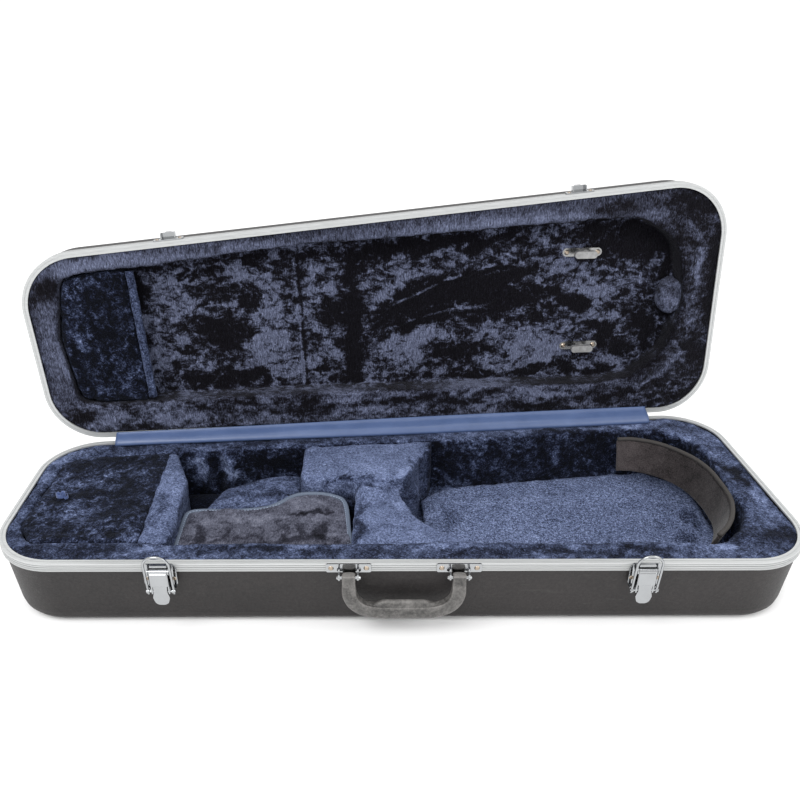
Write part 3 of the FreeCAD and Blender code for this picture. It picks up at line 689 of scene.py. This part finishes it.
# on the lid: along the hinge line and out from it
RIM_MARKS = [(200, 214, 190, 14, 3.5, 0.12), (470, 238, 120, 12, 3.5, 0.12),
             (330, 226, 30, 4, 20, -0.1), (395, 234, 10, 8, 0, -0.12), (560, 246, 40, 10, 4, 0.06),
             (650, 262, 30, 8, 4, -0.14), (610, 254, 20, 6, 0, 0.1), (700, 252, 24, 8, -10, 0.12),
             (735, 268, 20, 8, 0, -0.12), (785, 180, 9, 60, 0, -0.2), (770, 210, 6, 30, -12, 0.12),
             (762, 130, 6, 30, 8, 0.12), (774, 90, 8, 20, 20, -0.15), (764, 196, 6, 40, 0, 0.16),
             (752, 232, 14, 6, -50, 0.14), (744, 70, 16, 6, 45, 0.14), (754, 84, 6, 18, 40, 0.2),
             (728, 50, 26, 5, 28, 0.16), (700, 34, 40, 6, 12, -0.2), (660, 44, 26, 4, 4, 0.1),
             (560, 20, 90, 5, 2, -0.2), (590, 36, 34, 5, -8, 0.2), (520, 38, 20, 4, 10, -0.22),
             (480, 32, 30, 5, 0, -0.2), (500, 20, 24, 4, 0, 0.14), (420, 36, 40, 4, 2, -0.24),
             (380, 24, 50, 5, 2, 0.14), (340, 40, 26, 3.5, 0, 0.16), (310, 30, 24, 4, 0, -0.14),
             (250, 26, 34, 5, 2, -0.12), (200, 38, 60, 3, 2, -0.2), (150, 22, 40, 5, 0, 0.12),
             (120, 14, 40, 4, 0, -0.1), (14, 120, 7, 60, 0, 0.08), (26, 96, 5, 24, 6, 0.16),
             (20, 180, 16, 10, 40, -0.22), (36, 30, 14, 8, -30, -0.26), (70, 26, 20, 6, 0, 0.12),
             (60, 210, 40, 8, 4, 0.1)]
BACK_MARKS = [(108, 150, 5, 42, -2, -0.4), (130, 196, 30, 3.5, 8, -0.3), (160, 188, 14, 3, 14, -0.25),
              (205, 197, 9, 5, 0, -0.35), (226, 203, 12, 3, 4, -0.3), (145, 165, 20, 18, 0, 0.2),
              (150, 178, 26, 6, 4, 0.14), (172, 150, 12, 8, 30, 0.12), (163, 134, 18, 5, 0, -0.25),
              (200, 124, 32, 14, 0, -0.38), (184, 155, 8, 6, 0, -0.2), (226, 156, 9, 12, 0, -0.32),
              (208, 100, 11, 16, 0, -0.36), (160, 106, 22, 9, 0, 0.18), (120, 110, 10, 26, 0, 0.16),
              (155, 92, 16, 4, 0, -0.28), (188, 90, 10, 5, 0, -0.2), (145, 74, 9, 4, 10, -0.3),
              (165, 80, 20, 4, 0, 0.12), (192, 60, 34, 8, 0, -0.3), (160, 57, 12, 6, 0, -0.26),
              (236, 62, 20, 9, 0, -0.36), (225, 78, 14, 4, 0, 0.1), (150, 38, 34, 3.5, 2, -0.34),
              (210, 44, 34, 4, 2, -0.26), (180, 46, 14, 3, 0, 0.14), (235, 108, 14, 9, 20, 0.2),
              (256, 150, 16, 46, 0, 0.24), (262, 80, 16, 30, 0, 0.18), (225, 186, 20, 8, 0, 0.18),
              (268, 196, 8, 3.5, 20, -0.2), (284, 118, 7, 4, 0, -0.25), (276, 48, 16, 3, 0, -0.2),
              (280, 160, 6, 5, 0, -0.12), (305, 70, 26, 16, 0, 0.16), (316, 190, 12, 8, 0, 0.14),
              (302, 170, 8, 22, 0, 0.14), (306, 203, 10, 4, 0, -0.25), (326, 140, 16, 22, 10, -0.34),
              (352, 130, 10, 92, -2, -0.5), (356, 60, 8, 26, 0, -0.4), (322, 62, 20, 4, 2, -0.34),
              (330, 108, 14, 5, 0, 0.12), (330, 84, 20, 4, 0, 0.1), (440, 214, 100, 8, 3, -0.4),
              (392, 190, 22, 16, 10, 0.24), (384, 158, 16, 8, 20, 0.2), (412, 176, 16, 9, 20, 0.18),
              (452, 204, 26, 6, 6, 0.16), (430, 196, 6, 10, 0, -0.22), (450, 160, 80, 14, 21, -0.42),
              (440, 134, 70, 10, 16, -0.3), (500, 160, 44, 14, 8, -0.34), (486, 184, 24, 3, 12, 0.1),
              (404, 86, 30, 16, 0, 0.26), (426, 102, 16, 12, 0, 0.26), (470, 108, 44, 9, 6, 0.22),
              (508, 100, 20, 9, 0, 0.1), (468, 82, 34, 8, 4, -0.26), (500, 86, 16, 10, 40, -0.22),
              (455, 62, 40, 3.5, 3, -0.3), (500, 56, 26, 5, 4, -0.34), (486, 70, 20, 4, 0, 0.14),
              (400, 50, 26, 5, 0, -0.16), (380, 44, 16, 4, 0, 0.14), (545, 180, 30, 7, 6, -0.3),
              (560, 210, 14, 6, 0, 0.06), (586, 216, 14, 10, 0, 0.18), (603, 204, 3.5, 18, -3, 0.22),
              (584, 190, 24, 4, 4, 0.1), (560, 152, 60, 12, 2, -0.34), (596, 168, 30, 5, 4, 0.06),
              (620, 148, 20, 10, 0, -0.3), (640, 172, 11, 15, 0, 0.26), (652, 156, 10, 12, 0, 0.24),
              (655, 186, 6, 8, 0, 0.2), (672, 166, 14, 14, 0, 0.14), (692, 172, 14, 9, 0, 0.16),
              (648, 136, 12, 8, 0, 0.16), (560, 128, 44, 6, 3, -0.26), (606, 118, 26, 6, 2, 0.2),
              (585, 100, 30, 10, 0, 0.22), (556, 86, 34, 9, 4, 0.2), (600, 82, 18, 16, 0, 0.22),
              (566, 66, 40, 5, 4, 0.16), (640, 112, 24, 5, 0, -0.3), (622, 98, 24, 4, 0, -0.2),
              (672, 106, 16, 12, 0, -0.32), (690, 86, 12, 12, 0, -0.26), (682, 68, 16, 9, 0, 0.24),
              (708, 118, 14, 14, 0, -0.28), (712, 140, 12, 10, 0, 0.08), (722, 98, 8, 16, 0, -0.4),
              (700, 216, 40, 16, -4, -0.36), (738, 200, 8, 26, 0, -0.36), (726, 176, 8, 12, 0, -0.3),
              (660, 230, 60, 6, 2, -0.3), (560, 54, 50, 4, 3, -0.34), (620, 54, 18, 8, 0, -0.3),
              (656, 50, 30, 5, 0, -0.3), (650, 206, 24, 10, 0, -0.22), (630, 180, 10, 4, 0, -0.2),
              (744, 150, 6, 40, 0, -0.3)]
TIP_MARKS = [(46, 118, 9, 12, 0, 0.22), (44, 160, 10, 8, 0, 0.14), (80, 60, 12, 10, 0, 0.12),
             (60, 60, 8, 8, 0, 0.1), (96, 70, 5, 30, 2, 0.12), (70, 110, 18, 30, 0, -0.06)]
# long creases in the lid's cloth, whose ridges and hollows also get painted highlight and painted
# shade: from (s, h) to (s, h), how far they bow, and their strength
CREASES = ((372, 130, 522, 193, 5, 1.0), (376, 124, 520, 182, 9, 0.6), (396, 116, 512, 141, 6, 0.8),
           (504, 186, 562, 194, 3, 0.6), (506, 180, 560, 193, -2, 0.6), (592, 182, 660, 186, 2, 0.4))

# ---- plush pieces ---------------------------------------------------------------------------------
LUMPS = [(0.0014, 0.045, 11), (0.0008, 0.017, 12), (0.0006, 0.006, 13), (0.0003, 0.003, 14)]
CORE = (120, 105), (675, 150)  # a box well inside the case, in millimetres
BACK_IN, LIP_OUT = 0.0019, 0.001  # how far a lining's unseen side is drawn in, and let out by the lips


def hidden(co, no, body):
    """1 on the lining's back, which faces the shell."""
    if body == "lid":
        p, turned = lid_mm(co), no @ TURN
        flat, deep = np.stack([no @ ALONG, -(turned @ OUTWARD)], 1), turned[:, 2]
    else:
        p, flat, deep = tray_mm(co), no[:, :2], -no[:, 2]
    d = p[:, :2] - np.clip(p[:, :2], *CORE)
    far = np.linalg.norm(d, axis=1)
    out = (flat * d).sum(1) / np.maximum(far, 1)
    return np.maximum(rise(0.1, 0.5, out) * rise(25, 45, far), rise(0.1, 0.5, deep))


def per_vertex(value, co, no):
    return value(co, no) if callable(value) else np.full(len(co), float(value))


def plush_piece(name, node, body, material, mesh, nap_and_shade, unrest, lumps=LUMPS, shape=None):
    """Plush over a CAD block; mesh is (voxel size, rounds of smoothing, swell)."""
    o = soften(from_node(name, node), *mesh)
    if shape:
        set_coords(o.data, shape(coords(o.data), normals(o.data)))
    ruffle(o, lumps)
    if name.endswith("_lining") or name == "lid_end_button":
        co, no = coords(o.data), normals(o.data)
        depth = lid_mm(co)[:, 2] if body == "lid" else -tray_mm(co)[:, 2]
        inside = rise(9, 15, depth)
        pull_in = (BACK_IN * inside - LIP_OUT * (1 - inside)) * hidden(co, no, body)
        set_coords(o.data, co - no * pull_in[:, None])
    co, no = coords(o.data), normals(o.data)
    paint(o, per_vertex(nap_and_shade, co, no), "nap_and_shade")
    paint(o, per_vertex(unrest, co, no), "unrest")
    finish_piece(o, body, material, [node])


def sided(top, wall, marks=(), wall_marks=()):
    """Pile value: one for upward faces, one for walls, which is given darker as painted shade, with
    marks brushed on each.
    """
    def value(co, no):
        p = tray_mm(co)
        up = rise(0.25, 0.8, no[:, 2])
        flat = top + dabs(p[:, :2], marks)
        side = wall + (dabs(p[:, [0, 2]], wall_marks, seed=9) if wall_marks else 0.0)
        # walls take the wall value, which is given darker: painted shade on walls
        return flat * up + side * (1 - up)
    return value


def tops(calm, wall):
    """Unrest that differs between upward faces and walls."""
    return lambda co, no: calm + (wall - calm) * fall(0.3, 0.85, no[:, 2])


def to_frame(co):
    """The lining's outer edge rises to meet the metal frame's lip."""
    p = tray_mm(co)
    x, y = p[:, 0] * math.cos(TAPER), p[:, 1] * math.sin(TAPER)
    right = LENGTH * 1000 * math.cos(TAPER) - (x - y)
    back = -(co - np.array(AXIS)) @ OUTWARD * 1000 - 3
    near = np.minimum.reduce([x + y, right, back, p[:, 1]])
    out = co.copy()
    out[:, 2] += 0.0006 * fall(8, 22, near) * rise(-12, -5, p[:, 2])
    return out


def well_folds(co, no):
    """Loose folds of plush hanging down the scroll well's back wall."""
    out = to_frame(co)
    x, y, z = tray_mm(out).T
    wall = fall(0.35, 0.8, np.abs(no[:, 2])) * rise(150, 158, x) * fall(210, 218, x)
    wall = wall * rise(160, 172, y) * rise(-70, -50, z) * fall(-12, -4, z)
    x = x + 5 * np.sin(z / 14) + z * 0.16
    fold = bell(x, 158, 4.5) + 1.3 * bell(x, 186, 6) - 0.7 * bell(x, 172, 5)
    out[:, 1] -= 0.0052 * fold * wall * (1 - hidden(co, no, "tray"))
    return out


def neck_folds(co, no):
    """Slack plush over the neck block: its edges slump, with gathers at the corner by the cavity."""
    x, y, z = tray_mm(co).T
    out = co.copy()
    low, high = fall(142, 152, y), rise(142, 152, y)
    # the low deck's edge sweeps back towards the block, and its side slopes down to the floor
    corner = np.interp(y, [36, 49, 62, 76, 128, 147], [478, 446, 428, 421, 418, 406])
    slump = np.interp(y, [40, 55, 65, 75.5, 86.5, 101, 128, 142, 150],
                      [8, 10, 6, -1, -9, -17, -24, -20, -10])
    out[:, 0] += 0.001 * slump * low * rise(-62, -24, z) * rise(-46, -6, x - corner)
    # the back corner ends steeply where it meets the case wall
    out[:, 0] -= 0.00088 * np.maximum(x - 428, 0) * high
    out[:, 0] -= 0.007 * high * rise(-40, -14, z) * rise(396, 412, x) * fall(165, 190, y)
    side = fall(0.55, 0.95, no[:, 2])
    pleat = bell(y, 197, 3.4) + 0.9 * bell(y, 209, 3.2) - 0.9 * bell(y, 203, 3)
    out[:, 0] += 0.0036 * pleat * rise(400, 414, x) * side * rise(-55, -30, z)
    # a ridge and a crease where the cloth gathers on top
    ridge = bell((x - 398) * 0.86 - (y - 140) * 0.5, 0, 4) * rise(108, 124, y) * fall(178, 196, y)
    line = bell(y, 141 + 1.5 * np.sin(x / 17), 3.0)
    crease = 0.0016 * line * rise(286, 300, x) * fall(372, 392, x)
    out[:, 2] += (0.0032 * ridge - crease) * (0.35 + 0.65 * rise(0.6, 0.95, no[:, 2]))
    # the step between block and deck is a soft slope
    step = fall(140, 150, y) * rise(344, 350, x) * (z > -16) * fall(392, 404, x)
    out[:, 2] += 0.0045 * step * rise(118, 142, y)
    return out


def neck_pile(co, no):
    """Paler on the block's front, with less painted wall shade, and darker by the cavity's corner as
    painted shade.
    """
    x, _, z = tray_mm(co).T
    front = rise(-34, -14, z) * fall(392, 402, x)
    return sided(0.61, 0.38 + 0.2 * front - 0.2 * rise(424, 430, x), NECK)(co, no)


def cover_folds(co, no):
    """A tuft of spare cloth where the ribbon is sewn on, and a shallow hem round the lid."""
    x, y, _ = tray_mm(co).T
    r = np.hypot(x - 37, (y - 110) * 1.2)
    crest = 0.0022 * bell(r, 0, 7) - 0.0008 * bell(r, 11, 4)
    hem = 0.0007 * bell(y, 50, 2.2) * rise(40, 60, x)
    return co + no * ((crest - hem) * rise(0.5, 0.9, no[:, 2]))[:, None]


def lid_depth(co, no):
    """Lid coordinates, 0 on the lining's border to 1 on the recessed back, and how flat it faces."""
    p = lid_mm(co)
    return p, rise(12, 24, p[:, 2]), rise(0.3, 0.75, np.abs(no @ np.array(DEPTH)))


def crease_lines(s, h):
    """Heights of the ridges and the hollows beside them; distance from the back panel's seam."""
    ridge, hollow = np.zeros(len(s)), np.zeros(len(s))
    for s0, h0, s1, h1, bow, k in CREASES:
        u = np.clip((s - s0) / (s1 - s0), 0, 1)
        mid = h0 + (h1 - h0) * u + bow * np.sin(math.pi * u) + 0.8 * np.sin(s / 9)
        fade = np.sin(math.pi * u) ** 0.5 * k
        ridge += fade * bell(h, mid, 1.9)
        hollow += fade * bell(h, mid - 4.5, 3)
    return ridge, hollow, s - 290.5 + 0.036 * (h - 120), rise(42, 50, h) * fall(200, 208, h)


def lid_pile(co, no):
    p, deep, facing = lid_depth(co, no)
    s, h = p[:, 0], p[:, 1]
    rim = 0.45 - 0.13 * rise(660, 730, s) + dabs(p[:, :2], RIM_MARKS, 5)
    ridge, hollow, seam, within = crease_lines(s, h)
    # the crease ridges and the seam are painted paler and the hollows beside them darker: painted
    # highlight and painted shade
    back = 0.4 + 0.95 * dabs(p[:, :2], BACK_MARKS, 8, 21) + 0.42 * ridge - 0.3 * hollow
    back += within * (0.22 * bell(seam, 0, 1.8) - 0.3 * bell(seam, 3.6, 1.8))
    wall = 0.42 - 0.12 * rise(560, 640, s) + 0.16 * noise(co, 0.03, 8)
    wall = wall - 0.2 * rise(150, 190, h) * rise(300, 340, s)
    return (rim * (1 - deep) + back * deep) * facing + wall * (1 - facing)


def lid_unrest(co, no):
    p, deep, _ = lid_depth(co, no)
    rim = 0.14 + 0.4 * fall(40, 60, p[:, 1]) + 0.3 * rise(680, 740, p[:, 0])
    return rim * (1 - deep) + 0.85 * deep


def lid_creases(co, no):
    """Creases and a seam in the cloth on the lid's back panel, and a fuller border by the hinge."""
    s, h, z = lid_mm(co).T
    deep = rise(24, 29, z)
    ridge, hollow, seam, within = crease_lines(s, h)
    d = (0.0014 * ridge - 0.0012 * hollow - 0.0016 * bell(seam, 0, 1.8) * within) * deep
    d += 0.0004 * fall(20, 40, h) * fall(8, 14, z)
    d = d * (1 - hidden(co, no, "lid")) + 0.0005 * fall(3, 9, z)
    return co - np.outer(d, DEPTH)


def button(co, no):
    """A narrow, domed button of plush."""
    return co + np.outer(0.005 - 0.2 * ((co - co.mean(0)) @ ALONG), ALONG)


def flap_outline(co, no):
    """The flap's rear corner is rounded off and droops."""
    x, y, z = tray_mm(co).T
    out = co.copy()
    back = np.interp(x, [270, 285, 298, 318, 336, 342], [0, -1, -4, -8, -15, -19])
    out[:, 1] += 0.001 * back * rise(90, 142, y)
    inset = np.interp(y, [55, 88, 128, 145], [0, -4, -9, -9])
    out[:, 0] += 0.001 * inset * rise(300, 340, x)
    out[:, 2] -= 0.0009 * bell(y + (300 - x) * 0.2, 128, 2.4) * rise(262, 275, x) * fall(315, 325, x)
    return out


plush_piece("tray_lining", "tray_liner", "tray", plush_tray, (0.0026, 7, 0.0013),
            sided(0.4, 0.2, LINING, LINING_WALLS), tops(0.5, 0.85), shape=well_folds)
plush_piece("neck_rest", "neck_block", "tray", plush_tray, (0.0024, 8, 0.0017),
            neck_pile, tops(0.18, 0.45), shape=neck_folds)
plush_piece("cavity_cushion", "body_cavity_pad", "tray", plush_deck, (0.0026, 3, 0.0016),
            sided(0.59, 0.25, FLOOR), tops(0.2, 0.45))
plush_piece("divider_wall", "compartment_divider", "tray", plush_tray, (0.0024, 7, 0.0018),
            sided(0.58, 0.44, DIVIDER), tops(0.3, 0.35))
plush_piece("scroll_rest_pad", "scroll_rest", "tray", plush_tray, (0.0024, 8, 0.0014),
            sided(0.47, 0.2, SCROLL), tops(0.5, 0.6))
plush_piece("scroll_well_cushion", "scroll_well_pad", "tray", plush_tray, (0.003, 3, 0.001), 0.1, 0.3)
plush_piece("front_pocket_wall", "front_compartment_wall", "tray", plush_tray, (0.002, 3, 0.0005),
            0.2, 0.3)
plush_piece("accessory_cover", "accessory_lid", "accessory_lid", plush_tray, (0.0022, 6, 0.0027),
            sided(0.18, 0.16, COVER), tops(0.9, 0.4), shape=cover_folds)
plush_piece("lid_lining", "lid_liner", "lid", plush_lid, (0.0024, 6, 0.001), lid_pile, lid_unrest,
            shape=lid_creases)
plush_piece("bow_tip_cover", "bow_tip_pocket", "lid", plush_tray, (0.0022, 5, 0.0016),
            lambda co, no: 0.1 + dabs(lid_mm(co)[:, :2], TIP_MARKS, 5), 0.95)
plush_piece("lid_end_button", "lid_end_pad", "lid", plush_lid, (0.002, 5, 0.0006), 0.52, 0.35,
            shape=button)
plush_piece("flap_panel", "front_flap", "front_flap", plush_flap, (0.002, 4, 0),
            sided(0.45, 0.2, FLAP_MARKS), tops(0.4, 0.4), shape=flap_outline)
# the felt band is painted darker towards its right end, where it turns away from the light: painted
# shade
plush_piece("bout_band", "bout_strip", "tray", strip_felt, (0.0015, 2, 0),
            lambda co, no: 0.065 - 0.14 * rise(655, 740, tray_mm(co)[:, 0]), 0.3, [])

# ---- bound edge of the front flap -----------------------------------------------------------------
FLAP_MID = -22.7
edge = [(167.5, 50), (166.2, 75), (165.6, 96), (168, 107), (180, 111), (214, 110.6), (240, 113),
        (254, 118), (264, 125), (273, 133.5), (283, 138.6), (300, 140.2), (315, 138.4), (326, 133.6),
        (332, 126), (335.5, 110), (338, 88), (340.6, 62), (341, 50)]
path = spline([at(x, y, FLAP_MID) for x, y in edge], 220)


def binding_section(u):
    """A flat tape folded round the edge, fuller where the curve gathers it."""
    gathered = bell(u, 0.6, 0.12)
    return oval(0.0027, 0.0037 + 0.0014 * gathered, 16, 3.0, 0.0, 0.0005 * gathered)


binding = sweep("flap_binding", path, binding_section)
ruffle(binding, [(0.0003, 0.012, 31)])
finish_piece(binding, "front_flap", binding_tape)
stitches("flap_stitching", path + frames(path)[0] * 0.0019, 0.0035, thread, "front_flap")

# ---- piping and stitch row on the curved strip ----------------------------------------------------
bout = [(661, 238), (681, 238), (709, 227), (734, 202), (746.5, 175), (750, 145), (749, 112), (739, 84),
        (726, 64), (712, 50)]
path = spline([at(x, y, -6.6) for x, y in bout], 160)
roll = sweep("bout_band_piping", path, oval(0.0026, 0.0022, 14, 2.2))
finish_piece(roll, "tray", piping_tape, ["bout_strip_piping"])
below = path + frames(path)[0] * 0.0024 - np.array((0, 0, 0.0042))
stitches("bout_band_stitching", below, 0.0, strip_thread, "tray", 0.003, 0.002, 0.0003)

# ---- hem of the bow tip pocket, ribbon pull -------------------------------------------------------
mouth = [(105.2, 200), (106.4, 175), (107.6, 150), (109, 124), (110.2, 95), (111.4, 70), (112.6, 50)]
path = spline([on_lid(s, h, 9.4) for s, h in mouth], 90)
hem = sweep("pocket_hem", path, oval(0.0046, 0.0033, 16, 2.4, -0.0035), tuple(-DEPTH))
ruffle(hem, [(0.0007, 0.016, 41), (0.0004, 0.005, 42)])
for name in ("nap_and_shade", "unrest"):
    paint(hem, np.full(len(hem.data.vertices), 0.4), name)
finish_piece(hem, "lid", plush_tray)

loop = []
for share in np.arange(33) / 32:
    a = 2.9 * math.pi * share
    r = 6.6 - 1.1 * a / math.pi
    height = 5.0 * share ** 0.8 + 0.7 * math.sin(2 * a)
    loop.append(at(37 + r * math.cos(a - 0.6), 108.5 + 0.62 * r * math.sin(a - 0.6), -4.4 + height))
pull = sweep("accessory_pull", spline(loop, 90), oval(0.0004, 0.0051, 12, 3.0))
finish_piece(pull, "accessory_lid", ribbon, ["accessory_lid_tab"])

# ---- vinyl strip over the hinge line --------------------------------------------------------------
STRIP_THICK = 1.0
profile = np.array([(-15.2, -2.6), (-16.9, 0.2), (-15.4, 3.6), (-11.6, 6.5), (-6.9, 8.5), (-2.6, 10.0),
                    (0.3, 11.5), (2.0, 13.2)])
middle = np.array((-5, 5.2))
rings = []
for s in np.linspace(71, 720, 180):
    wave = 0.22 * math.sin(s / 37) + 0.12 * math.sin(s / 15 + 1)
    full = 0.74 + 0.26 * rise(60, 520, s)
    points = middle + (profile - middle) * full
    points[:, 1] += wave * bell(profile[:, 0], -8, 6)
    curve = spline(points, 22)
    slope = np.gradient(curve, axis=0)
    inner = np.column_stack([slope[:, 1], -slope[:, 0]]) / np.linalg.norm(slope, axis=1)[:, None]
    section = np.vstack([curve, (curve + inner * STRIP_THICK)[::-1]])
    rings.append([HINGE_END + U * (s / 1000) + N * (y / 1000) + Vector((0, 0, z / 1000))
                  for y, z in section])
strip = loft("hinge_strip", rings)
strip.data.materials.append(vinyl)
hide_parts("hinge_cover")
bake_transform(strip)

# ---- moulded handle -------------------------------------------------------------------------------
HANDLE_X = 394.3
half = [(-51.7, -7.2, -7), (-51.7, -7.2, -12), (-51.7, -7.6, -20), (-51.0, -8.4, -29),
        (-47.0, -9.0, -38), (-39, -9.4, -44.6), (-27, -9.6, -48.0), (-13, -9.7, -48.6),
        (0, -9.7, -48.6)]
whole = half + [(-x, y, z) for x, y, z in reversed(half[:-1])]
path = spline([at(HANDLE_X + x, y, z) for x, y, z in whole], 150)
slope = np.gradient(path, axis=0)
slope /= np.linalg.norm(slope, axis=1)[:, None]
outward = np.array((0.0, -1.0, 0.0))
# the moulding's section, in millimetres: towards the case's top, and out from its front; the last
# number says how much of the palm swell each point takes
SECTION = [(-6.3, -2.6, 0), (-6.9, 0.4, 0), (-6.8, 3.4, 0), (-6.2, 4.8, 0), (-4.2, 5.5, 0),
           (0.0, 5.6, 0), (3.8, 5.5, 0), (5.7, 5.2, 0), (6.6, 4.6, 0), (6.8, 3.7, 0), (6.1, 2.7, 0.1),
           (6.6, 1.4, 0.8), (7.0, -0.6, 1.0), (6.8, -2.8, 1.0), (5.6, -4.4, 0.8), (3.4, -5.2, 0.3),
           (0.0, -5.5, 0), (-3.6, -5.1, 0), (-5.6, -4.2, 0)]
rings = []
for p, t in zip(path, slope):
    x, _, z = tray_mm(p)
    upward = np.cross(outward, t)
    upward /= np.linalg.norm(upward)
    low = rise(-14, -30, z)
    wide, thick = (0.92 + 0.08 * low) / 1000, (0.74 + 0.26 * low) / 1000
    palm = 0.0046 * fall(17, 33, abs(x - HANDLE_X)) * low
    rings.append([p + upward * (w * wide + palm * k) + outward * q * thick for w, q, k in SECTION])
grip = loft("carrying_handle", rings)
grip.modifiers.new("s", "SUBSURF").levels = 1
applied(grip).data.shade_smooth()
finish_piece(grip, "handle", handle_rubber, ["handle_grip"])

# ---- floor, light, camera -------------------------------------------------------------------------
bm = bmesh.new()
bmesh.ops.create_grid(bm, x_segments=8, y_segments=8, size=14)
floor = from_bmesh("floor", bm)
floor.location = (0, 8, -0.0002)
floor.data.materials.append(floor_white)

world = bpy.data.worlds.new("studio")
bpy.context.scene.world = world
world.use_nodes = True
sky = world.node_tree.nodes["Background"]
sky.inputs["Color"].default_value = (1.0, 1.0, 1.0, 1)
sky.inputs["Strength"].default_value = 1.1

CASE_MIDDLE = Vector((0, 0.05, 0.1))
for name, place, size, power in (("key", (-0.9, -1.1, 1.9), (1.4, 1.0), 26),
                                 ("fill", (1.5, -0.9, 1.3), (1.2, 1.2), 12),
                                 ("top", (0.1, 0.5, 2.3), (1.8, 0.9), 12)):
    light = bpy.data.lights.new(name, "AREA")
    light.shape = "RECTANGLE"
    light.size, light.size_y = size
    light.energy = power
    o = new_object(name, light)
    o.location = place
    o.rotation_euler = (CASE_MIDDLE - Vector(place)).to_track_quat("-Z", "Y").to_euler()

SENSOR, FOCAL, IMAGE = 36, 752.8, 800  # millimetres, then focal length and width in image units
yaw, pitch, roll = (math.radians(a) for a in (-1.33, 27.72, 0.76))
forward = Vector((-math.sin(yaw) * math.cos(pitch), math.cos(yaw) * math.cos(pitch), -math.sin(pitch)))
right = Vector((math.cos(yaw), math.sin(yaw), 0))
up = right.cross(forward)
right, up = (right * math.cos(roll) + up * math.sin(roll), up * math.cos(roll) - right * math.sin(roll))
cam = bpy.data.cameras.new("camera")
cam.sensor_width = SENSOR
cam.lens = SENSOR * FOCAL / IMAGE
camera = new_object("camera", cam)
pose = Matrix((right, up, -forward)).transposed().to_4x4()
pose.translation = at(375.6, -550.1, 461.1)
camera.matrix_world = pose
bpy.context.scene.camera = camera
bpy.context.scene.view_settings.view_transform = "Standard"
